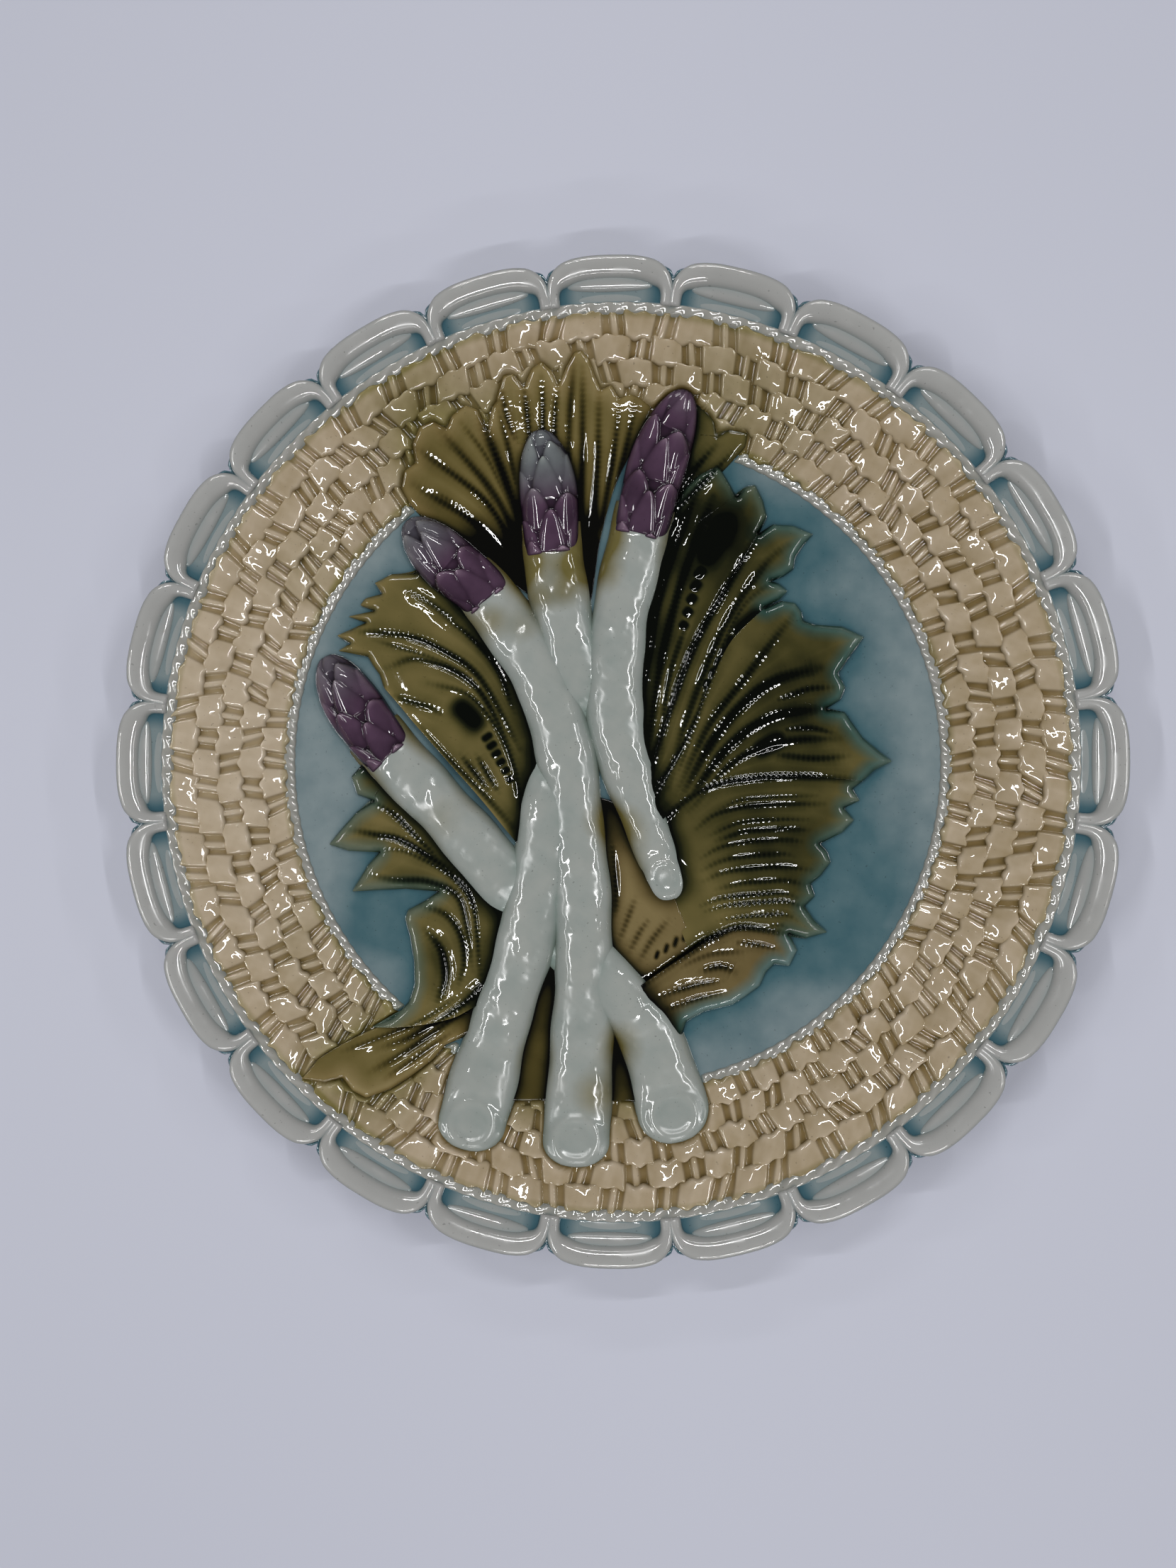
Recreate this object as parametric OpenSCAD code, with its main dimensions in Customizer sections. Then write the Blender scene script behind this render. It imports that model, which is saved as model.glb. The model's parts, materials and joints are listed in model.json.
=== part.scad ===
/* [Plate] */
// Outside diameter over the crowns of the scallops
plate_d = 240; // [210:1:280]
// Radius at which the well turns up into the rim
well_r = 80; // [74:0.5:86]
// Height of the well floor above the table
floor_z = 7; // [6:0.5:10]
// Thickness of the body
wall = 4.5; // [3.5:0.1:5.5]
// Rise of the rim for each millimetre outward
rim_slope = 0.42; // [0.3:0.01:0.5]
// Softness of the turn from well to rim
turn = 2; // [1:0.1:3]

/* [Foot] */
// Radius of the middle of the foot ring
foot_r = 66; // [50:1:72]
// Width of the foot ring where it joins the body
foot_w = 6; // [4:0.5:9]
// Bevel on both edges of the foot ring
foot_bevel = 1; // [0.5:0.1:1.8]

/* [Scalloped edge] */
// Number of scallops
scallops = 24; // [16:1:28]
// Width of the edge, from the middle of the outer rope to the crown
edge_w = 11; // [9:0.5:14]
// Thickness of the edge at the crown
edge_t = 3.2; // [2.5:0.1:4]
// Depth of the nick between two scallops
nick = 2.9; // [1.5:0.1:3.5]
// Width of the rolled lip
lip_w = 3.4; // [2.4:0.1:4]
// Height of the rolled lip
lip_h = 1.6; // [1:0.1:2.4]
// Width of the ridge inside each scallop
ridge_w = 2.4; // [1.5:0.1:2.8]
// Height of the ridge inside each scallop
ridge_h = 0.8; // [0.5:0.1:1.4]

/* [Ropes and weave] */
// Width of the two rope rings
rope_w = 2.8; // [2:0.1:3.6]
// Height of the two rope rings
rope_h = 1.3; // [0.8:0.1:1.6]
// Rows of weave
weave_rows = 5; // [3:1:6]
// Strands over in each row
weave_count = 48; // [36:1:64]
// Height of a strand where it passes over
strand_h = 1.5; // [0.8:0.1:2]
// Height of a stake between two strands
stake_h = 1.1; // [0.6:0.1:1.8]

/* [Asparagus] */
// Width of a stalk, as drawn
stalk_w = 14; // [11:0.5:16]
// Height of a stalk
stalk_h = 5.4; // [3.5:0.1:7]
// Width of a tip, as drawn
tip_w = 15; // [12:0.5:17]
// Height of a tip
tip_h = 5.8; // [4:0.1:7.5]
// Length of the slanted cut at the foot of a stalk, as drawn
cut_l = 15; // [10:0.5:18]

/* [Leaves] */
// Height of a leaf over the well
leaf_h = 3; // [2:0.1:4]
// Thickness of a leaf, a stalk or a lip at its margin
margin = 0.7; // [0.4:0.1:0.9]
// Share of a lobe's length that the cleft beside it takes
cleft = 0.22; // [0.1:0.01:0.3]

/* [Hidden] */
// Gap under everything that is laid on the body, and round every laid piece
seat = 0.05;
lay_gap = 0.25;
// Taller than everything, for cutting room through a piece
tall = plate_d;

plate_r = plate_d / 2;
outer_rope_r = plate_r - edge_w;
inner_rope_r = well_r + turn;
body_r = outer_rope_r + rope_w / 2 + seat;
weave_in = inner_rope_r + rope_w / 2 + lay_gap;
weave_out = outer_rope_r - rope_w / 2 - lay_gap;
row_w = (weave_out - weave_in) / weave_rows;
weave_pitch = 360 / weave_count;
strand_share = 0.64;
stake_share = 0.14;
scallop_pitch = 360 / scallops;

// The ornament is drawn in millimetres on a field of this radius, and is spread with the field
drawn_r = 107.6;
spread = (outer_rope_r - rope_w / 2) / drawn_r;
stalk_half_w = stalk_w / 2 * spread;
tip_half_w = tip_w / 2 * spread;
cut_run = cut_l * spread;

// Middle lines of the spears from the point of the tip down: the tip ends at the third point
left_spear = [[-77, 23], [-67, 13], [-56, 2], [-40, -15], [-27, -30]];
middle_spear = [
    [-52, 61], [-42, 51], [-31, 41], [-18, 21], [-12, 3], [-9, -20], [-7, -50], [-8, -78], [-9, -99]
];
back_spear = [[-18, 83], [-16, 68], [-15, 53], [-13, 40], [-10, 25], [-8, 15]];
right_spear = [[17, 91], [11, 74], [6, 57], [2, 35], [0, 12], [4, -8], [14, -34]];
// The feet of the two spears that pass under others and come out below them
left_foot = [[1, -46], [8, -68], [16, -92]];
back_foot = [[-15, -8], [-18, -25], [-22, -45], [-29, -68], [-36, -95]];

// Each lobe of a leaf runs from its root past a bend to its point
right_top = [
    [[9, 6], [10, 42], [22, 85]],
    [[10, 4], [14, 42], [33, 81]],
    [[11, 2], [16, 38], [27, 73]],
    [[12, 0], [20, 34], [34, 69]],
    [[13, -2], [23, 30], [38, 60]]
];
right_high = [
    [[14, -5], [26, 28], [48, 57]],
    [[15, -7], [29, 20], [44, 46]],
    [[16, -9], [32, 14], [48, 38]]
];
right_middle = [
    [[16, -12], [34, 8], [62, 31]],
    [[17, -14], [37, 3], [58, 18]],
    [[18, -16], [38, -2], [57, 9]],
    [[19, -18], [40, -6], [68, 0]]
];
right_low = [
    [[19, -21], [38, -9], [61, -9]],
    [[20, -23], [38, -15], [60, -16]],
    [[20, -26], [38, -20], [55, -24]],
    [[20, -29], [37, -26], [52, -33]],
    [[20, -32], [35, -33], [53, -42]],
    [[19, -35], [32, -38], [45, -47]]
];
right_foot = [
    [[17, -40], [28, -43], [43, -53]],
    [[14, -44], [23, -48], [36, -57]],
    [[12, -48], [19, -54], [30, -62]],
    [[10, -52], [15, -58], [21, -66]]
];
heart = [
    [[1, -38], [2, -33], [3, -26]],
    [[3, -42], [5, -38], [8, -34]],
    [[5, -46], [9, -41], [13, -38]],
    [[7, -50], [12, -45], [17, -41]]
];
left_high = [
    [[-23, -15], [-26, 18], [-58, 48]],
    [[-24, -16], [-30, 15], [-67, 39]],
    [[-25, -16], [-33, 12], [-70, 32]],
    [[-26, -16], [-36, 9], [-64, 25]],
    [[-27, -16], [-38, 5], [-58, 19]],
    [[-28, -15], [-39, 1], [-51, 13]]
];
left_low = [
    [[-32, -56], [-30, -36], [-66, -3]],
    [[-34, -56], [-34, -32], [-71, -19]],
    [[-36, -56], [-37, -31], [-66, -32]],
    [[-38, -57], [-39, -37], [-53, -38]],
    [[-40, -58], [-41, -46], [-51, -46]],
    [[-42, -59], [-44, -53], [-50, -55]]
];
curl = [
    [[-43, -61], [-55, -66], [-71, -70]],
    [[-40, -63], [-53, -70], [-70, -76]],
    [[-38, -66], [-48, -74], [-58, -79]]
];
top_left = [
    [[-22, 41], [-32, 59], [-62, 68]],
    [[-21, 42], [-29, 63], [-52, 79]],
    [[-20, 43], [-27, 65], [-44, 86]],
    [[-19, 44], [-25, 66], [-35, 90]],
    [[-18, 44], [-23, 66], [-27, 93]]
];
top_middle = [
    [[-9, 43], [-9, 72], [-19, 98]],
    [[-7, 42], [-7, 72], [-8, 105]],
    [[-6, 42], [-5, 66], [0, 93]],
    [[-4, 43], [-2, 64], [9, 92]]
];
gap_left = [
    [[-16, -58], [-19, -68], [-23, -80]],
    [[-14, -58], [-16, -68], [-17, -80]]
];
gap_right = [
    [[-1, -64], [-1, -72], [0, -80]],
    [[1, -64], [3, -72], [6, -80]]
];

// Steps along and across the laid pieces
$fn = 144;
room_sides = 24;
rope_sides = 12;
run_steps = 5;
tip_steps = 2 * run_steps;
across = [-1, -0.8, -0.45, 0, 0.45, 0.8, 1];
crown_steps = 12;
lip_steps = 12;
lip_across = [-1, -0.6, 0.6, 1];
leaf_steps = 7;
lobe_columns = 4;

// Shares of its width and of its height that a stalk keeps at the end of its cut
cut_width = 0.3;
cut_height = 0.25;
// Where a tip is widest along its length, and its shares of that width at the point and at the stalk
tip_widest = 0.55;
tip_point = 0.2;
tip_neck = 0.88;
// Share of a leaf's height at its root, how early it peaks, and the depth of the grooves between lobes
leaf_root = 0.4;
leaf_lead = 0.8;
leaf_groove = 0.7;
// How square the scallops' outline and the arch of their lips are
crown_square = 2.5;
arch_square = 3.2;
// How many times its softness the turn of the well reaches to both sides
turn_reach = 5;

// Height of the body's upper face: a flat floor that turns softly into a straight cone
function top_z(r) = floor_z + rim_slope * turn * ln(1 + exp((r - well_r) / turn));
function on_ring(r, a) = [r * cos(a), r * sin(a)];
function place(p) = p * spread;
function place_all(points) = [for (p = points) place(p)];
function bend_point(p, s) = p[0] * (1 - s) ^ 2 + p[1] * 2 * s * (1 - s) + p[2] * s ^ 2;

// Smooth line through all the points of a run
function through(a, b, c, d, t) =
    (2 * b + (c - a) * t + (2 * a - 5 * b + 4 * c - d) * t ^ 2 + (3 * b - a - 3 * c + d) * t ^ 3) / 2;
function line(p, steps) = [
    for (i = [0:len(p) - 2])
    for (k = [0:steps - 1])
    through(p[max(i - 1, 0)], p[i], p[i + 1], p[min(i + 2, len(p) - 1)], k / steps),
    p[len(p) - 1]
];
function heading(path, i) =
    let (d = path[min(i + 1, len(path) - 1)] - path[max(i - 1, 0)])
    d / norm(d);
function along(path, i) = i == 0 ? 0 : along(path, i - 1) + norm(path[i] - path[i - 1]);

// Rows of [x, y, height] across a path, domed from side to side, from one step of the path to another
function strip(path, from, to, half, high, columns) = [
    for (i = [from:to])
    let (d = heading(path, i))
    [
        for (v = columns)
        [
            path[i].x - d.y * half[i] * v,
            path[i].y + d.x * half[i] * v,
            margin + high[i] * sqrt(1 - v * v)
        ]
    ]
];

// A stalk keeps its width, and falls away over the slanted cut at its foot in a round end
function spear_path(points) = line(place_all(points), run_steps);
function to_end(path, i) = along(path, len(path) - 1) - along(path, i);
function stalk_half(path, cut) = [
    for (i = [0:len(path) - 1])
    let (x = min(1, to_end(path, i) / stalk_half_w))
    stalk_half_w * (cut ? max(cut_width, sqrt(1 - (1 - x) ^ 2)) : 1)
];
function stalk_high(path, cut) = [
    for (i = [0:len(path) - 1])
    (stalk_h - margin) * (cut ? cut_height + (1 - cut_height) * min(1, to_end(path, i) / cut_run) : 1)
];
function stalk_rows(path, from, cut) =
    strip(path, from, len(path) - 1, stalk_half(path, cut), stalk_high(path, cut), across);

// A tip swells from its stalk and closes in a round point
function tip_form(path, i) =
    let (s = along(path, i) / along(path, tip_steps))
    let (down = (s - tip_widest) / (1 - tip_widest))
    let (up = (tip_widest - s) / tip_widest)
    s > tip_widest ? 1 - (1 - tip_neck) * down : max(tip_point, sqrt(1 - up ^ 2));
function tip_half(path) = [for (i = [0:tip_steps]) tip_half_w * tip_form(path, i)];
function tip_high(path) = [for (i = [0:tip_steps]) (tip_h - margin) * tip_form(path, i)];
function tip_rows(path) = strip(path, 0, tip_steps, tip_half(path), tip_high(path), across);

// Rows of [x, y, height] of a fan of lobes, each a ridge that ends in a point between two clefts
function lobe_point(lobes, u, k) =
    let (i = max(0, min(len(lobes) - 2, floor(u - 0.5))))
    place(lobes[i][k] + (lobes[i + 1][k] - lobes[i][k]) * (u - 0.5 - i));
function lobe_high(s, side) =
    let (swell = leaf_root + (1 - leaf_root) * sin(180 * s ^ leaf_lead))
    margin + (leaf_h - margin) * swell * (1 - leaf_groove * side ^ 2);
function fan(lobes) = [
    for (i = [0:leaf_steps])
    let (s = i / leaf_steps)
    [
        for (j = [0:len(lobes) * lobe_columns])
        let (u = j / lobe_columns)
        let (side = abs(2 * (u % 1) - 1))
        let (rib = [for (k = [0:2]) lobe_point(lobes, u, k)])
        let (p = bend_point(rib, s * (1 - cleft * side ^ 2)))
        [p.x, p.y, lobe_high(s, side)]
    ]
];
function outline(rows) =
    let (n = len(rows) - 1)
    let (m = len(rows[0]) - 1)
    concat(
        [for (i = [0:n]) flat(rows[i][0])],
        [for (j = [1:m]) flat(rows[n][j])],
        [for (i = [n - 1:-1:0]) flat(rows[i][m])],
        [for (j = [m - 1:-1:1]) flat(rows[0][j])]
    );
function flat(p) = [p.x, p.y];

// Everything that lies over the weave or the ropes, as outlines seen from above
fans = [
    right_top, right_high, right_middle, right_low, right_foot, heart,
    left_high, left_low, curl, top_left, top_middle, gap_left, gap_right
];
spear_paths = [for (points = [left_spear, middle_spear, back_spear, right_spear]) spear_path(points)];
foot_paths = [for (points = [left_foot, back_foot]) spear_path(points)];
laid = concat(
    [for (p = spear_paths) outline(stalk_rows(p, tip_steps, true))],
    [for (p = spear_paths) outline(tip_rows(p))],
    [for (p = foot_paths) outline(stalk_rows(p, 0, true))],
    [for (lobes = fans) outline(fan(lobes))]
);
function crosses(a, b, p) =
    (a.y > p.y) != (b.y > p.y) && p.x < a.x + (b.x - a.x) * (p.y - a.y) / (b.y - a.y);
function inside(poly, p) =
    let (n = len(poly))
    let (hits = [for (i = [0:n - 1]) if (crosses(poly[i], poly[(i + 1) % n], p)) 1])
    len(hits) % 2 == 1;
function under(p) = len([for (poly = laid) if (inside(poly, p)) 1]) > 0;
function turned(a) = ((a + 180) % 360 + 360) % 360 - 180;
function in_cell(p, r1, r2, mid, half) =
    norm(p) > r1 && norm(p) < r2 && abs(turned(atan2(p.y, p.x) - mid)) < half;
// Whether a cell of a ring, from r1 to r2 and half degrees to both sides of mid, has something over it
function covered(r1, r2, mid, half) =
    let (spots = [for (r = [r1, (r1 + r2) / 2, r2]) for (a = [-1, 0, 1]) on_ring(r, mid + a * half)])
    len([for (p = spots) if (under(p)) 1]) > 0
    || len([for (poly = laid) for (p = poly) if (in_cell(p, r1, r2, mid, half)) 1]) > 0;
function run_length(open, a, n) = n >= 360 || !open[(a + n) % 360] ? n : run_length(open, a, n + 1);

// Rows put so that their columns run to the left of their way along
function righted(rows) =
    let (i = floor(len(rows) / 2))
    let (j = floor(len(rows[0]) / 2))
    cross(flat(rows[i][j] - rows[i - 1][j]), flat(rows[i][j] - rows[i][j - 1])) > 0
    ? rows
    : [for (row = rows) [for (k = [len(row) - 1:-1:0]) row[k]]];

// Closed solid over rows of [x, y, height]: its underside is seated on the body
module relief(loose_rows) {
    rows = righted(loose_rows);
    n = len(rows);
    m = len(rows[0]);
    under_side = [for (row = rows) for (p = row) [p.x, p.y, top_z(norm(flat(p))) + seat]];
    upper_side = [for (row = rows) for (p = row) [p.x, p.y, top_z(norm(flat(p))) + seat + p.z]];
    low = n * m;
    corners = [for (i = [0:n - 2]) for (j = [0:m - 2]) i * m + j];
    cells = [for (c = corners) [c, c + m, c + m + 1, c + 1]];
    right = [for (i = [0:n - 2]) [i * m, (i + 1) * m]];
    left = [for (i = [0:n - 2]) [(i + 2) * m - 1, (i + 1) * m - 1]];
    first = [for (j = [0:m - 2]) [j + 1, j]];
    last = [for (j = [0:m - 2]) [(n - 1) * m + j, (n - 1) * m + j + 1]];
    polyhedron(
        points = concat(upper_side, under_side),
        faces = concat(
            [for (c = cells) [c[0], c[3], c[2]]],
            [for (c = cells) [c[0], c[2], c[1]]],
            [for (c = cells) [low + c[0], low + c[1], low + c[2]]],
            [for (c = cells) [low + c[0], low + c[2], low + c[3]]],
            [for (e = concat(right, left, first, last)) [e[0], e[1], low + e[1]]],
            [for (e = concat(right, left, first, last)) [e[0], low + e[1], low + e[0]]]
        )
    );
}

// Section of a rounded bead that lies on the body from radius r1 to r2
module bead(r1, r2, high, sides = $fn) {
    chord = [r2 - r1, top_z(r2) - top_z(r1)];
    half = norm(chord) / 2;
    round_r = (half ^ 2 + high ^ 2) / (2 * high);
    translate([(r1 + r2) / 2, (top_z(r1) + top_z(r2)) / 2 + seat])
    rotate(atan2(chord.y, chord.x))
    intersection() {
        translate([0, high - round_r]) circle(r = round_r, $fn = sides);
        translate([-half, 0]) square([2 * half, high]);
    }
}

// Ring of bead, left out where something lies over it
module bead_ring(r, wide, high) {
    r1 = r - wide / 2;
    r2 = r + wide / 2;
    open = [for (a = [0:359]) !covered(r1, r2, a + 0.5, 0.5)];
    starts = [for (a = [0:359]) if (open[a] && !open[(a + 359) % 360]) a];
    if (len(starts) == 0) rotate_extrude() bead(r1, r2, high, rope_sides);
    for (a = starts)
        rotate(a)
        rotate_extrude(angle = run_length(open, a, 0)) bead(r1, r2, high, rope_sides);
}

// Room for a spear or a foot, a little wider than what fills it
module room(path, half) {
    for (i = [0:len(path) - 2]) {
        hull() {
            translate(path[i]) cylinder(r = half[i] + lay_gap, h = tall, $fn = room_sides);
            translate(path[i + 1]) cylinder(r = half[i + 1] + lay_gap, h = tall, $fn = room_sides);
        }
    }
}

module spear_room(points) {
    path = spear_path(points);
    tip = tip_half(path);
    room(path, [
        for (i = [0:len(path) - 1])
        i > tip_steps ? stalk_half_w : max(tip[i], i / tip_steps * stalk_half_w)
    ]);
}

module foot_room(points) {
    path = spear_path(points);
    room(path, [for (p = path) stalk_half_w]);
}

module spears_room() {
    for (points = [left_spear, middle_spear, back_spear, right_spear]) spear_room(points);
    for (points = [left_foot, back_foot]) foot_room(points);
}

module leaf_room(lobes) {
    linear_extrude(tall) offset(delta = lay_gap) polygon(outline(fan(lobes)));
}

module plate_body() {
    radii = concat([0], [for (k = [-turn_reach:0.5:turn_reach]) well_r + k * turn], [body_r]);
    upper = [for (r = radii) [r, top_z(r)]];
    lower = [for (k = [len(radii) - 1:-1:0]) [radii[k], top_z(radii[k]) - wall]];
    color("lightsteelblue")
    rotate_extrude() polygon(concat(upper, lower));
}

module foot_ring() {
    half = foot_w / 2;
    color("tan")
    rotate_extrude()
    polygon([
        [foot_r - half, floor_z - wall],
        [foot_r - half + foot_bevel, 0],
        [foot_r + half - foot_bevel, 0],
        [foot_r + half, floor_z - wall]
    ]);
}

module scalloped_edge() {
    inner = body_r + seat;
    blank_r = plate_r + lay_gap;
    rim = [
        for (i = [0:scallops * crown_steps - 1])
        let (side = abs(2 * ((i / crown_steps + 0.5) % 1) - 1))
        let (fall = 1 - (1 - side ^ crown_square) ^ (1 / crown_square))
        on_ring(plate_r - nick * fall, i / crown_steps * scallop_pitch)
    ];
    color("cadetblue")
    intersection() {
        rotate_extrude()
        polygon([
            [inner, top_z(inner)],
            [blank_r, top_z(blank_r)],
            [blank_r, top_z(blank_r) - edge_t],
            [inner, top_z(inner) - wall]
        ]);
        linear_extrude(tall) polygon(rim);
    }
}

// One scallop's rolled lip, an arch whose ends come in to the rope, and the ridge inside it
module scallop(i) {
    arch_in = body_r + 2 * seat;
    arch_h = plate_r - lip_w / 2 - seat - arch_in;
    arch_a = scallop_pitch / 2 - (lip_w / 2 + lay_gap / 2) / body_r * 180 / PI;
    path = [
        for (k = [0:lip_steps])
        let (c = cos(k * 180 / lip_steps))
        on_ring(
            arch_in + arch_h * sin(k * 180 / lip_steps) ^ (2 / arch_square),
            -arch_a * sign(c) * abs(c) ^ (2 / arch_square)
        )
    ];
    half = [for (p = path) lip_w / 2];
    high = [for (p = path) (lip_h - margin) / sqrt(1 - lip_across[1] ^ 2)];
    ridge_r = (arch_in + plate_r - lip_w) / 2;
    ridge_a = arch_a - (lip_w / 2 + ridge_w) / body_r * 180 / PI;
    color("honeydew")
    rotate(scallop_pitch * (i - 1)) {
        relief(strip(path, 0, lip_steps, half, high, lip_across));
        rotate(-ridge_a)
        rotate_extrude(angle = 2 * ridge_a)
        bead(ridge_r - ridge_w / 2, ridge_r + ridge_w / 2, ridge_h);
    }
}

module outer_rope() {
    color("azure") bead_ring(outer_rope_r, rope_w, rope_h);
}

module inner_rope() {
    color("azure") bead_ring(inner_rope_r, rope_w, rope_h);
}

// One row of weave: strands that pass over, with a stake standing in each gap between them
module weave_row(i) {
    r1 = weave_in + (i - 1) * row_w + lay_gap / 2;
    r2 = r1 + row_w - lay_gap;
    strand_half = weave_pitch * strand_share / 2;
    stake_half = weave_pitch * stake_share / 2;
    color("wheat")
    for (k = [0:weave_count - 1]) {
        mid = (k + (i % 2) / 2) * weave_pitch;
        gap_mid = mid + weave_pitch / 2;
        if (!covered(r1, r2, mid, strand_half))
            rotate(mid - strand_half)
            rotate_extrude(angle = 2 * strand_half) bead(r1, r2, strand_h);
        if (!covered(r1, r2, gap_mid, stake_half))
            rotate(gap_mid - stake_half)
            rotate_extrude(angle = 2 * stake_half) bead(r1, r2, stake_h);
    }
}

// The stalk below a tip, cut back from what passes over it
module stalk(points, cut) {
    path = spear_path(points);
    color("lightgray")
    difference() {
        relief(stalk_rows(path, tip_steps, cut));
        children();
    }
}

// The foot of a stalk that comes out from under others, cut back from them
module foot(points) {
    path = spear_path(points);
    color("lightgray")
    difference() {
        relief(stalk_rows(path, 0, true));
        children();
    }
}

module tip(points) {
    path = spear_path(points);
    color("indigo") relief(tip_rows(path));
}

// A leaf, cut back from the spears and from the leaves that lie over it
module leaf(lobes, over) {
    color("darkolivegreen")
    difference() {
        relief(fan(lobes));
        spears_room();
        for (other = over) leaf_room(other);
    }
}

module stalk_right() {
    stalk(right_spear, true);
}

module stalk_middle() {
    stalk(middle_spear, true) spear_room(right_spear);
}

module stalk_back() {
    stalk(back_spear, false) {
        spear_room(middle_spear);
        spear_room(right_spear);
    }
    foot(back_foot) {
        spear_room(middle_spear);
        spear_room(right_spear);
    }
}

module stalk_left() {
    stalk(left_spear, false) {
        foot_room(back_foot);
        spear_room(middle_spear);
    }
    foot(left_foot) {
        foot_room(back_foot);
        spear_room(middle_spear);
    }
}

module leaf_right_top() {
    leaf(right_top, []);
}

module leaf_right_high() {
    leaf(right_high, [right_top]);
}

module leaf_right_middle() {
    leaf(right_middle, [right_high]);
}

module leaf_right_low() {
    leaf(right_low, [right_middle]);
}

module leaf_right_foot() {
    leaf(right_foot, [right_low]);
}

module leaf_heart() {
    leaf(heart, [right_low, right_foot]);
}

module leaf_left_high() {
    leaf(left_high, []);
}

module leaf_left_low() {
    leaf(left_low, []);
}

module leaf_curl() {
    leaf(curl, [left_low]);
}

module leaf_top_left() {
    leaf(top_left, []);
}

module leaf_top_middle() {
    leaf(top_middle, [top_left]);
}

module leaf_gap_left() {
    leaf(gap_left, []);
}

module leaf_gap_right() {
    leaf(gap_right, []);
}

plate_body();
foot_ring();
scalloped_edge();
outer_rope();
inner_rope();
for (i = [1:weave_rows]) weave_row(i);
for (i = [1:scallops]) scallop(i);
stalk_left();
stalk_middle();
stalk_back();
stalk_right();
tip(left_spear);  // tip_left
tip(middle_spear);  // tip_middle
tip(back_spear);  // tip_back
tip(right_spear);  // tip_right
leaf_right_top();
leaf_right_high();
leaf_right_middle();
leaf_right_low();
leaf_right_foot();
leaf_heart();
leaf_left_high();
leaf_left_low();
leaf_curl();
leaf_top_left();
leaf_top_middle();
leaf_gap_left();
leaf_gap_right();
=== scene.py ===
import json
import bpy
import numpy as np
from mathutils import Matrix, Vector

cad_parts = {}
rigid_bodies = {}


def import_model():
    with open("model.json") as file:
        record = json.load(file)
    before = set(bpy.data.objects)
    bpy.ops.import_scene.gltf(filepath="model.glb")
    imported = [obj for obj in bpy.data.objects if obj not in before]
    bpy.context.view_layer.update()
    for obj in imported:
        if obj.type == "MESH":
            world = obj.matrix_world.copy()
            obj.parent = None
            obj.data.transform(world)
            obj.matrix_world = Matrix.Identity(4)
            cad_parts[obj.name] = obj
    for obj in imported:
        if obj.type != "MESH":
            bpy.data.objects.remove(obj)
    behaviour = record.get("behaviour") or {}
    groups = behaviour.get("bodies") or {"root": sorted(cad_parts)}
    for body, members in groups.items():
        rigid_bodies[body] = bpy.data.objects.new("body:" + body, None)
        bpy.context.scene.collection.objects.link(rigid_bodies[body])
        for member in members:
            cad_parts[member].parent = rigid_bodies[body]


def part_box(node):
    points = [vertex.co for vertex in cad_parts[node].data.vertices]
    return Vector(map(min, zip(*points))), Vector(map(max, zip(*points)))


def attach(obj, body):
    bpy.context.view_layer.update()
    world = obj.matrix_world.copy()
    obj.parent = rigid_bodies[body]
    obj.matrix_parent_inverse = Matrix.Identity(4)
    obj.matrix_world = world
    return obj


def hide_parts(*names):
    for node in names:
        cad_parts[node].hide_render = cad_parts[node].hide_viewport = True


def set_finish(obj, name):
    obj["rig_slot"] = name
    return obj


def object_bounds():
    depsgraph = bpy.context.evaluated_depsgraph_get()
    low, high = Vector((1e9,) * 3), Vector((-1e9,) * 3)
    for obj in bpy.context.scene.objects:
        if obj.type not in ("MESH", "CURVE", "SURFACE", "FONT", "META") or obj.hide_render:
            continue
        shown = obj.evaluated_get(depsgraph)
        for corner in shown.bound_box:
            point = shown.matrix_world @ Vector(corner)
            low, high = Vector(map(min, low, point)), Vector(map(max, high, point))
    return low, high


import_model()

cad_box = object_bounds()

# The body of the plate is a shallow dish of earthenware, pressed over a mould: a flat well that turns softly
# up into a straight rim. It is flooded with a pale blue glaze that runs to turquoise where it gathers.
MM = 0.001
body_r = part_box("plate_body")[1].x / MM
well_r = 80.0
floor_z = 7.0
wall = 4.5
rim_slope = 0.42
turn = 2.0
body_rings = 116
under_rings = 24
body_spokes = 420


def face_z(r):
    """Height of the body's upper face at a radius."""
    return floor_z + rim_slope * turn * np.log1p(np.exp((r - well_r) / turn))


def tone(red, green, blue):
    """A colour as the eye reads it, 0 to 255, turned into light."""
    seen = np.array([red, green, blue]) / 255
    light = np.where(seen > 0.04045, ((seen + 0.055) / 1.055) ** 2.4, seen / 12.92)
    return (*light, 1.0)


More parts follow.
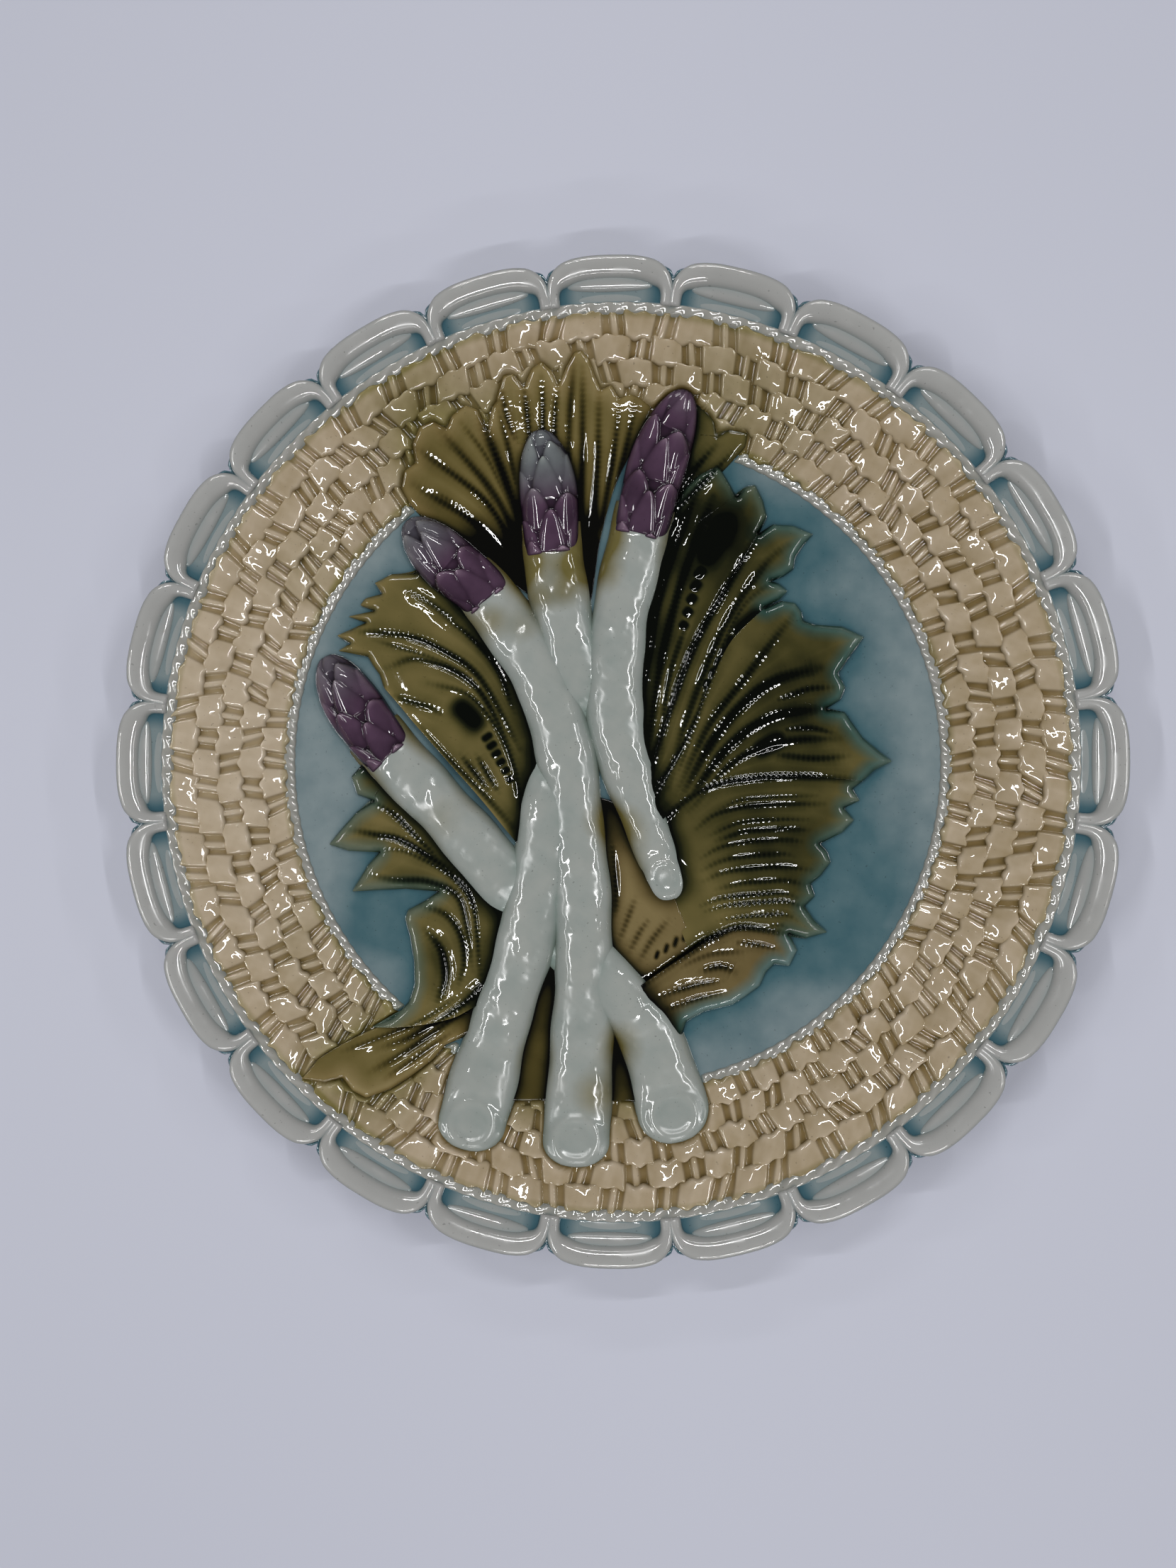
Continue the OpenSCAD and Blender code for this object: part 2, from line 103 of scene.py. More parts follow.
def glaze(name, laid, run, mottle=0.16, gloss=0.02, specks=0.35, coat=1.0, waves_h=0.06, bend=1.6, dull=0.04):
    """A glossy glaze. Both lists of colours go from thin to deep glaze, and the deep end also carries painted
    shade:
    laid is the glaze itself, and run is the second glaze that has flowed into it."""
    finish = bpy.data.materials.new(name)
    finish.use_nodes = True
    nodes = finish.node_tree.nodes
    join = finish.node_tree.links.new
    shader = nodes["Principled BSDF"]
    place = nodes.new("ShaderNodeTexCoord")

    def clouds(scale, detail):
        noise = nodes.new("ShaderNodeTexNoise")
        noise.inputs["Scale"].default_value = scale
        noise.inputs["Detail"].default_value = detail
        join(place.outputs["Object"], noise.inputs["Vector"])
        return noise.outputs["Fac"]

    def reading(attribute):
        reader = nodes.new("ShaderNodeAttribute")
        reader.attribute_name = attribute
        return reader.outputs["Fac"]

    def add_up(value, factor, other):
        sum_of = nodes.new("ShaderNodeMath")
        sum_of.operation = "MULTIPLY_ADD"
        join(value, sum_of.inputs[0])
        sum_of.inputs[1].default_value = factor
        join(other, sum_of.inputs[2])
        return sum_of.outputs[0]

    def steps(value, colours):
        ramp = nodes.new("ShaderNodeValToRGB")
        stops = ramp.color_ramp.elements
        while len(stops) < len(colours):
            stops.new(0.5)
        for stop, (at, colour) in zip(stops, colours):
            stop.position = at
            stop.color = colour
        join(value, ramp.inputs["Fac"])
        return ramp.outputs["Color"]

    def graded(value, colours):
        span = np.linspace(0.1, 0.95, len(colours))
        return steps(value, [(at, tone(*colour)) for at, colour in zip(span, colours)])

    def mix(factor, first, second):
        blend = nodes.new("ShaderNodeMix")
        blend.data_type = "RGBA"
        join(factor, blend.inputs["Factor"])
        join(first, blend.inputs[6])
        join(second, blend.inputs[7])
        return blend.outputs[2]

    # The ramps are read by how deep the glaze stands, with painted shade added in the hollows and grooves.
    depth_and_shade = add_up(clouds(130, 3), mottle, reading("pool_shade"))
    flow = add_up(clouds(90, 4), mottle, reading("run"))
    laid_colour = graded(depth_and_shade, laid)
    run_colour = graded(depth_and_shade, run)
    share = steps(flow, [(0.15 + mottle / 2, (0, 0, 0, 1)), (0.85 + mottle / 2, (1, 1, 1, 1))])
    colour = mix(share, laid_colour, run_colour)
    grit = steps(clouds(1500, 1), [(0.72, (1, 1, 1, 1)), (0.78, (1 - specks,) * 3 + (1,))])
    speckled = nodes.new("ShaderNodeMix")
    speckled.data_type = "RGBA"
    speckled.blend_type = "MULTIPLY"
    speckled.inputs["Factor"].default_value = 1
    join(colour, speckled.inputs[6])
    join(grit, speckled.inputs[7])
    join(speckled.outputs[2], shader.inputs["Base Color"])
    smooth = nodes.new("ShaderNodeMapRange")
    smooth.inputs["From Min"].default_value = 0.44
    smooth.inputs["From Max"].default_value = 0.6
    smooth.inputs["To Min"].default_value = gloss
    smooth.inputs["To Max"].default_value = dull
    join(clouds(140, 3), smooth.inputs["Value"])
    join(smooth.outputs["Result"], shader.inputs["Roughness"])
    waves = nodes.new("ShaderNodeBump")
    waves.inputs["Strength"].default_value = 0.6
    waves.inputs["Distance"].default_value = waves_h * MM
    join(clouds(300, 1), waves.inputs["Height"])
    join(waves.outputs["Normal"], shader.inputs["Normal"])
    shader.inputs["IOR"].default_value = bend
    shader.inputs["Coat Weight"].default_value = coat
    shader.inputs["Coat Roughness"].default_value = 0.03
    shader.inputs["Coat IOR"].default_value = 1.6
    return finish


def new_piece(name, points, faces, run=0.0, deep=0.0):
    """A smooth mesh from points in millimetres; run is the share of the second glaze at each point, and deep
    is how much deeper than around it the glaze stands there, together with any painted shade given for
    grooves and eyelets."""
    mesh = bpy.data.meshes.new(name)
    mesh.from_pydata((points.reshape(-1, 3) * MM).tolist(), [], faces)
    mesh.shade_smooth()
    for attribute, values in (("run", run), ("pool_shade", deep)):
        values = np.broadcast_to(np.asarray(values, np.float32).ravel(), len(mesh.vertices))
        kept = mesh.attributes.new(attribute, "FLOAT", "POINT")
        kept.data.foreach_set("value", np.ascontiguousarray(values))
    piece = bpy.data.objects.new(name, mesh)
    bpy.context.scene.collection.objects.link(piece)
    return piece


def fit(piece, finish, slot, node):
    """Give a piece its finish and set it in the place of its solid."""
    piece.data.materials.append(finish)
    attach(piece, "root")
    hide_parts(node)
    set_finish(piece, slot)
    return piece


def around(spokes):
    """Angles once round the plate."""
    return np.arange(spokes) * 2 * np.pi / spokes


def turned(r, z, angles):
    """Rows of points: a profile of radii and heights turned through the angles."""
    r = np.broadcast_to(r, (len(angles), np.shape(r)[-1]))
    z = np.broadcast_to(z, r.shape)
    return np.stack([r * np.cos(angles)[:, None], r * np.sin(angles)[:, None], z], -1)


def loop_faces(rows, columns, closed):
    """Four-cornered faces between rows of points that join up with the first row, and columns that may."""
    i, j = np.meshgrid(np.arange(rows), np.arange(columns if closed else columns - 1), indexing="ij")
    ahead, beside = (i + 1) % rows, (j + 1) % columns
    corners = [i * columns + j, ahead * columns + j, ahead * columns + beside, i * columns + beside]
    return np.stack(corners, -1).reshape(-1, 4).tolist()


upper_r = np.linspace(body_r / body_rings, body_r, body_rings)
lower_r = np.linspace(body_r, body_r / body_rings, under_rings)
profile_r = np.concatenate([upper_r, lower_r])
profile_z = np.concatenate([face_z(upper_r), face_z(lower_r) - wall])
rings = turned(profile_r[::-1], profile_z[::-1], around(body_spokes))
ends = np.array([[0, 0, floor_z], [0, 0, floor_z - wall]])
count = len(profile_r)
faces = loop_faces(body_spokes, count, False)
for spoke in range(body_spokes):
    beside = (spoke + 1) % body_spokes
    faces.append([body_spokes * count, (spoke + 1) * count - 1, (beside + 1) * count - 1])
    faces.append([body_spokes * count + 1, beside * count, spoke * count])
well_glaze = glaze(
    "pale_blue_well_glaze",
    [(150, 158, 158), (130, 142, 144), (106, 122, 126), (72, 98, 104)],
    [(104, 126, 130), (80, 106, 112), (54, 88, 97), (28, 60, 70)],
    mottle=0.5,
)
plate_body = new_piece("fired_plate_body", np.concatenate([rings.reshape(-1, 3), ends]), faces)
fit(plate_body, well_glaze, "well_glaze", "plate_body")

# The foot ring under the body, thrown on in the same clay. Its glaze is wiped off before firing, so that the
# plate does not stick to the shelf of the kiln, and the bare clay shows.
foot_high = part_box("foot_ring")[1]
foot_outer = foot_high.x / MM
foot_w = 6.0
foot_round = 1.2
foot_let_in = 0.4
foot_top = foot_high.z / MM + foot_let_in
section = np.linspace(0, np.pi, 9)
foot_r = foot_outer - foot_w / 2 + (foot_w / 2 - foot_round) * np.cos(section)
foot_z = foot_round * (1 - np.sin(section))
foot_r = np.concatenate([[foot_outer], foot_r, [foot_outer - foot_w]])
foot_z = np.concatenate([[foot_top], foot_z, [foot_top]])


def closed_ring(name, sections, run=0.0):
    """A ring round the plate from its closed section at each angle; run is given like the points."""
    run = np.broadcast_to(run, sections.shape[:2])[:, ::-1]
    return new_piece(name, sections[:, ::-1], loop_faces(*sections.shape[:2], True), run)


bare_clay = glaze(
    "bare_foot_clay",
    [(196, 178, 150), (182, 162, 132), (160, 140, 112)],
    [(170, 150, 120), (150, 130, 100)],
    gloss=0.55, dull=0.7, coat=0.0,
)
foot_ring = closed_ring("bare_foot_ring", turned(foot_r, foot_z, around(body_spokes)))
fit(foot_ring, bare_clay, "bare_foot", "foot_ring")

# The leaves lie on the well in fans of fluted lobes, pressed from thin clay and luted down under the spears.
# Olive brown glaze runs off their ribs and stands almost black in the grooves, deepened with painted shade;
# their points turn to teal.
leaf_h = 3.0
let_in = 0.12
bedded = 0.6
line_step = 0.6
leaf_edge = 1.7
blade_step = 0.45
least_width = 0.05
leaf_low, leaf_swell = 0.72, 0.28
leaf_uneven = 0.12
leaf_least_h = 0.3
fold_d, line_d, lip_up = 0.5, 0.16, 0.12
eye_d = 0.1
clay_shows = 0.25
field_step = 0.4
field_half = 123.0
field_n = int(2 * field_half / field_step)
relief = np.zeros((field_n, field_n))
covered = np.zeros((field_n, field_n))
leaf_cover = np.zeros((field_n, field_n))


def between(grid):
    """A grid of points with one more point in the middle of each gap, both ways."""
    longer = np.repeat(grid, 2, axis=0)[:-1]
    longer[1::2] = (grid[:-1] + grid[1:]) / 2
    wider = np.repeat(longer, 2, axis=1)[:, :-1]
    wider[:, 1::2] = (longer[:, :-1] + longer[:, 1:]) / 2
    return wider


def press(field, points, height):
    """Press a height at each point into a field seen from above, where the highest stays."""
    column = ((points[..., 0] + field_half) / field_step).astype(int).ravel()
    row = ((points[..., 1] + field_half) / field_step).astype(int).ravel()
    np.maximum.at(field, (row, column), np.broadcast_to(height, points.shape[:-1]).ravel())


def rise(points):
    """Height of points over the face of the body."""
    return points[..., 2] - face_z(np.hypot(points[..., 0], points[..., 1]))


def press_in(over, *covers):
    """Press a piece into the relief, and into each cover where its clay stands clear of the body."""
    points = between(over)
    press(relief, points, rise(points))
    for cover in covers:
        press(cover, points, rise(points) > clay_shows)


def soften(field, reach):
    """A field blurred over a reach in millimetres."""
    wave_y = np.fft.fftfreq(field_n, field_step)[:, None]
    wave_x = np.fft.rfftfreq(field_n, field_step)[None, :]
    fall = np.exp(-2 * (np.pi * reach) ** 2 * (wave_x**2 + wave_y**2))
    return np.fft.irfft2(np.fft.rfft2(field) * fall, field.shape)


def look_up(field, points):
    """Values of a field under points."""
    x = np.clip((points[..., 0] + field_half) / field_step - 0.5, 0, field_n - 2)
    y = np.clip((points[..., 1] + field_half) / field_step - 0.5, 0, field_n - 2)
    i, j = y.astype(int), x.astype(int)
    fy, fx = y - i, x - j
    near = field[i, j] * (1 - fx) + field[i, j + 1] * fx
    far = field[i + 1, j] * (1 - fx) + field[i + 1, j + 1] * fx
    return near * (1 - fy) + far * fy


def laid_on(x, y, height, sink, under):
    """Grids over and under a laid piece, let in by a little so that its margin meets the body."""
    face = face_z(np.hypot(x, y))
    return np.stack([x, y, face + height - sink], -1), np.stack([x, y, face - under], -1)


def closed_patch(name, over, under, run, deep=0.0):
    """A closed piece from a grid of points over and the same grid under it."""
    n, m = over.shape[:2]
    run, deep = np.broadcast_to(run, (n, m)), np.broadcast_to(deep, (n, m))
    along, across = np.gradient(over[..., :2], axis=0), np.gradient(over[..., :2], axis=1)
    if np.mean(along[..., 0] * across[..., 1] - along[..., 1] * across[..., 0]) < 0:
        over, under, run, deep = over[:, ::-1], under[:, ::-1], run[:, ::-1], deep[:, ::-1]
    loops = np.concatenate([over, under[:, ::-1]], axis=1)
    faces = loop_faces(n, 2 * m, True)[: (n - 1) * 2 * m]
    for row in (0, n - 1):
        start = row * 2 * m
        for j in range(m - 1):
            quad = [start + j, start + j + 1, start + 2 * m - 2 - j, start + 2 * m - 1 - j]
            faces.append(quad if row == 0 else quad[::-1])
    run, deep = np.concatenate([run, run[:, ::-1]], axis=1), np.concatenate([deep, deep[:, ::-1]], axis=1)
    return new_piece(name, loops, faces, run, deep)


def joined(pieces):
    """One piece from several that are made and fired as one."""
    if len(pieces) > 1:
        with bpy.context.temp_override(active_object=pieces[0], selected_editable_objects=pieces):
            bpy.ops.object.join()
    return pieces[0]


def ease(value, low, high):
    """A smooth step from 0 at low to 1 at high."""
    t = np.clip((value - low) / (high - low), 0, 1)
    return t * t * (3 - 2 * t)


def gone_along(line):
    """How far along a line each of its points is."""
    return np.concatenate([[0], np.cumsum(np.linalg.norm(np.diff(line, axis=0), axis=1))])


def at_steps(steps, far, line):
    """Points of a line at given steps along it."""
    return np.stack([np.interp(steps, far, line[:, k]) for k in (0, 1)], -1)


def smooth_line(points):
    """A line through all the points, in even short steps."""
    p = np.array(points, float)
    p = np.concatenate([[2 * p[0] - p[1]], p, [2 * p[-1] - p[-2]]])
    t = np.linspace(0, 1, 40, endpoint=False)[:, None]
    runs = [
        (2 * b + (c - a) * t + (2 * a - 5 * b + 4 * c - d) * t**2 + (3 * b - a - 3 * c + d) * t**3) / 2
        for a, b, c, d in zip(p, p[1:], p[2:], p[3:])
    ]
    line = np.concatenate(runs + [p[-2:-1]])
    far = gone_along(line)
    even = np.linspace(0, far[-1], int(far[-1] / line_step) + 1)
    return at_steps(even, far, line), even


def straight_line(points):
    """A line of straight stretches through all the points, in even short steps."""
    p = np.array(points, float)
    far = gone_along(p)
    even = np.linspace(0, far[-1], int(far[-1] / blade_step) + 1)
    return at_steps(even, far, p)


def gap_to(x, y, line):
    """Distance of points to a line that is given in short steps, and how far along it they are."""
    nearest, along = np.full(x.shape, 1e9), np.zeros(x.shape)
    for k, (line_x, line_y) in enumerate(line):
        apart = (x - line_x) ** 2 + (y - line_y) ** 2
        along = np.where(apart < nearest, k / (len(line) - 1), along)
        nearest = np.minimum(nearest, apart)
    return np.sqrt(nearest), along


def blade(inner, seam, margin, after, high, dip):
    """The blade of a leaf, from a line that lies hidden or on a seam out to its toothed margin: its points,
    how far they are from the margin, and how deep they lie in the grooves, which sets their gathered glaze
    and painted shade."""
    outer = [straight_line(margin)]
    if len(seam):
        outer.insert(0, smooth_line(list(seam) + [margin[0]])[0][:-1])
    if len(after):
        outer.append(smooth_line([margin[-1]] + list(after))[0][1:])
    outer = straight_line(np.concatenate(outer))
    hidden_side = smooth_line(inner)[0]
    spread = np.linspace(0, len(hidden_side) - 1, len(outer))
    hidden_side = at_steps(spread, np.arange(len(hidden_side)), hidden_side)
    wide = np.linalg.norm(outer - hidden_side, axis=1)
    outer, hidden_side = outer[wide > least_width], hidden_side[wide > least_width]
    columns = int(wide.max() / blade_step) + 2
    across = np.linspace(0, 1, columns)[None, :, None]
    x, y = np.moveaxis(hidden_side[:, None] * (1 - across) + outer[:, None] * across, -1, 0)
    from_edge, _ = gap_to(x, y, straight_line(margin))
    rounded = np.sqrt(1 - (1 - np.clip(from_edge / leaf_edge, 0, 1)) ** 2)
    from_inner, _ = gap_to(x, y, hidden_side[::3])
    height = leaf_h * high * (leaf_low + leaf_swell * ease(from_edge, 0, 14))
    height = height * (1 - dip * (1 - ease(from_inner, 2, 11)))
    lumps = np.sin(x * 0.5 + 1.3 * np.sin(y * 0.23))
    height = height + leaf_uneven * high * lumps * np.sin(y * 0.43 + 0.2 * x)
    groove_shade, fold, line_h, lip = np.zeros((4, *x.shape))
    for line, half, depth_and_shade in grooves:
        line = smooth_line(line)[0][::2]
        if line[:, 0].max() < x.min() - 4 or line[:, 0].min() > x.max() + 4:
            continue
        if line[:, 1].max() < y.min() - 4 or line[:, 1].min() > y.max() + 4:
            continue
        apart, along = gap_to(x, y, line)
        fading = np.sin(np.pi * np.clip(along, 0.02, 0.98)) ** 0.6
        core, slope = np.exp(-((apart / half) ** 2)), np.exp(-((apart / half / 3) ** 2))
        fold = np.maximum(fold, depth_and_shade * fading * slope)
        line_h = np.maximum(line_h, depth_and_shade * fading * core)
        lip = np.maximum(lip, depth_and_shade * fading * np.exp(-(((apart - 1.7 * half) / half / 0.7) ** 2)))
        # Painted shade down each groove, over the glaze gathered there.
        groove_shade = np.maximum(groove_shade, depth_and_shade * fading * (0.42 * core + 0.2 * slope))
    height = height - high * (fold_d * fold + line_d * line_h - lip_up * lip * (1 - line_h))
    return x, y, np.maximum(height, leaf_least_h) * rounded, from_edge, groove_shade


def sunk_eyes(x, y, eyes):
    """Depth of the eyelets and slots pressed into a leaf, which also sets the painted shade in them: each is
    x, y, way in degrees, length and width.
    """
    depth_and_shade = np.zeros_like(x)
    for eye_x, eye_y, way, long, wide in eyes:
        c, d = np.cos(np.radians(way)), np.sin(np.radians(way))
        along, across = (x - eye_x) * c + (y - eye_y) * d, (y - eye_y) * c - (x - eye_x) * d
        depth_and_shade = np.maximum(depth_and_shade, np.exp(-((along / long * 1.9) ** 4) - (across / wide * 1.7) ** 2))
    return depth_and_shade


def row_of_eyes(start, end, count, way, long, wide):
    """Eyelets in a row, a little smaller at its start."""
    (x, y), (end_x, end_y) = start, end
    return [
        (x + (end_x - x) * t, y + (end_y - y) * t, way, long * (0.7 + 0.3 * t), wide)
        for t in np.linspace(0, 1, count)
    ]


leaf_finish = dict(mottle=0.22, specks=0.25, coat=0.0, bend=1.42)
leaf_glaze = glaze(
    "olive_leaf_glaze",
    [(110, 98, 60), (88, 80, 45), (57, 54, 26), (24, 26, 11), (3, 5, 2)],
    [(78, 96, 88), (54, 78, 71), (32, 54, 47), (13, 28, 22), (3, 7, 5)],
    **leaf_finish,
)
brown_glaze = glaze(
    "brown_leaf_glaze",
    [(114, 102, 64), (94, 83, 46), (66, 58, 27), (34, 31, 12), (5, 5, 3)],
    [(134, 120, 84), (112, 97, 60), (84, 71, 38), (46, 40, 17), (8, 8, 4)],
    **leaf_finish,
)
foot_glaze = glaze(
    "brown_to_teal_leaf_glaze",
    [(116, 102, 68), (96, 83, 52), (68, 58, 32), (34, 31, 14), (5, 5, 3)],
    [(92, 112, 110), (70, 92, 88), (46, 68, 60), (20, 36, 29), (4, 8, 6)],
    **leaf_finish,
)
seam_top = [[7, -9], [14, 12], [20, 28], [27, 41], [36.5, 57]]
seam_eyes = [[8, -12], [18, 5], [24, 19], [29.5, 30], [38, 38.5]]
seam_middle = [[9, -17], [22, -7], [34, -4], [48, -3.5], [62, -4.5]]
seam_heart = [[7, -12], [11, -24], [15, -36], [19, -46.5]]
seam_foot = [[4, -57.5], [18, -48], [25, -43.5], [32, -40.7], [44, -42.5]]
seams = [seam_top, seam_eyes, seam_middle, seam_foot]
grooves = [
    (seam_top, 0.8, 1.1), (seam_middle, 0.8, 0.9), (seam_foot, 0.8, 1.2), (seam_eyes[:3], 0.7, 0.9),
    ([[9.5, 36], [11, 52], [17, 68]], 0.7, 0.8), ([[8, 18], [10.5, 36], [15, 52], [22, 70]], 0.8, 0.9),
    ([[9, 2], [12, 24], [17, 44], [25, 66]], 0.9, 0.9), ([[12, 0], [14, 20], [19, 36]], 0.7, 0.7),
    ([[14, -6], [19, 12], [28, 34], [38, 49], [44, 54]], 0.9, 0.8),
    ([[16, -4], [24, 20], [32, 38], [40, 45]], 0.7, 0.7),
    ([[16, -8], [24, 9], [33, 21], [45, 37]], 0.9, 0.8),
    ([[17, -9], [26, 7], [38, 19], [52, 23.5]], 1.1, 1.1),
    ([[18, -11], [28, 3], [39, 11], [53, 13.5]], 1.0, 1.1),
    ([[19, -12], [30, 0], [42, 5], [56, 6]], 0.8, 0.8), ([[40, 15], [48, 18], [55, 18.5]], 0.6, 0.6),
    ([[42, 8], [49, 8.5], [55, 7]], 0.6, 0.6), ([[40, 2], [50, 1], [58, 1.5]], 0.7, 0.6),
    ([[30, -44.3], [36, -45], [41, -46]], 0.6, 0.7), ([[12, -58], [20, -55.4], [28, -53.8]], 0.6, 0.8),
    ([[14, -61], [22, -58.4], [28, -57]], 0.6, 0.7), ([[22, -51.5], [27, -50.5], [31, -52]], 0.8, 0.9),
    ([[15, -51.5], [24, -47.5], [34, -46.5]], 0.7, 0.6), ([[2, -44], [5, -36], [6, -33]], 0.7, 0.9),
    ([[4.5, -47], [7, -42], [10, -38]], 0.7, 0.9), ([[7, -49], [10, -44], [14, -39]], 0.7, 0.9),
    ([[1, -38], [1, -30], [0, -20]], 0.7, 0.9), ([[-44, 38], [-36, 32], [-29, 24], [-24.5, 12]], 0.6, 0.8),
    ([[-52, 44], [-44, 39], [-37, 33]], 0.8, 0.6),
    ([[-66, 33.5], [-52, 32], [-42, 28], [-33, 21], [-23, 3]], 0.8, 1.1),
    ([[-60, 31], [-50, 28], [-40, 24], [-34, 19]], 0.6, 0.7),
    ([[-57, 24], [-48, 26], [-34, 19], [-24, 0]], 0.8, 1.1),
    ([[-46, 20], [-36, 17], [-29, 9], [-25, 0], [-23, -10]], 0.7, 0.9),
    ([[-56, 17], [-46, 14], [-42, 12]], 0.8, 0.8), ([[-52, 13], [-40, 0], [-32, -8], [-25, -16]], 0.8, 0.9),
    ([[-38, 2], [-34, -3], [-30, -8]], 0.7, 0.9), ([[-34, 2], [-31, -3], [-28, -8]], 0.7, 0.8),
    ([[-61, -9.5], [-55, -13], [-49, -19], [-42, -26]], 0.6, 0.8),
    ([[-66, -17], [-60, -18], [-52, -20], [-38, -29]], 0.8, 1.2),
    ([[-60, -21.5], [-50, -23], [-36, -33], [-33, -53]], 0.6, 0.9),
    ([[-62, -28], [-55, -29.5], [-46, -30], [-38, -35], [-35, -52]], 0.8, 0.9),
    ([[-48, -36], [-42, -38], [-38, -43], [-37, -50], [-39, -57]], 0.8, 0.9),
    ([[-47, -42], [-43, -47], [-42, -54], [-44, -61]], 0.9, 1.0),
    ([[-31, -55], [-40, -62.5], [-50, -68.5], [-58, -71]], 0.8, 1.1),
    ([[-36, -61], [-45, -67.8], [-53, -73], [-60, -76.5]], 0.8, 1.0),
    ([[-38, -58], [-48, -64.8], [-60, -69.3], [-67, -71.5]], 0.6, 0.8),
    ([[-40, -67.5], [-48, -73], [-56, -78]], 0.7, 0.9),
    ([[-33, -58], [-43, -65.5], [-52, -70.8]], 0.5, 0.6), ([[-24, 48], [-34, 60], [-50, 70]], 0.9, 1.0),
    ([[-23, 51], [-32, 66], [-48, 78]], 0.8, 1.1), ([[-23, 54], [-30, 68], [-42, 82]], 0.9, 1.1),
    ([[-23, 60], [-28, 74], [-33, 87]], 1.1, 1.3), ([[-30, 56], [-38, 64], [-46, 69]], 0.6, 0.7),
    ([[-27, 60], [-34, 73], [-42, 80]], 0.6, 0.8), ([[-26, 65], [-31, 76], [-37, 84]], 0.6, 0.8),
    ([[-24, 68], [-26, 79], [-28, 88]], 0.7, 0.9), ([[-24, 80], [-26, 86], [-27, 92]], 0.7, 1.0),
    ([[-20.5, 80], [-21, 87], [-21.5, 93]], 0.7, 1.1), ([[-17.5, 80], [-17, 88], [-17, 95]], 0.7, 1.1),
    ([[-14.5, 79], [-14, 87], [-13, 93]], 0.7, 1.1), ([[-11, 74], [-10.5, 85], [-9, 98]], 0.8, 1.0),
    ([[-8, 58], [-7.5, 76], [-7, 97]], 0.8, 1.1), ([[-6, 50], [-4, 70], [-3, 91]], 0.8, 1.1),
    ([[-3, 58], [0, 75], [2, 89]], 0.7, 1.0), ([[-1, 62], [3, 77], [6, 89]], 0.7, 0.9),
    ([[12, 60], [18, 70], [26, 79]], 0.7, 1.0), ([[13, 64], [17, 76], [21, 86]], 0.7, 1.0),
    ([[15, 62], [23, 70], [31, 78]], 0.6, 0.8),
]
ribs = 12
rib_gap = 2.95
rib_start = 20.5
rib_chance = np.random.default_rng(11)
for rib in range(ribs):
    rib_y = -8.2 - rib_gap * rib + rib_chance.uniform(-0.7, 0.7)
    rib_x = rib_start + rib_chance.uniform(0, 8)
    rib_end = [54.5 - 0.82 * rib - rib_chance.uniform(0, 7), rib_y + 0.5 - 0.17 * rib]
    drop = (6.4 - 0.36 * rib) * (1 - (rib_x - rib_start) / 11)
    rib_line = [[rib_x, rib_y - drop], [rib_x + 4.5, rib_y - 0.4 * drop]]
    rib_line = rib_line + [[33, rib_y - 0.3], [42, rib_y + 0.3], rib_end]
    grooves.append((rib_line, rib_chance.uniform(0.42, 0.6), rib_chance.uniform(0.46, 0.76)))
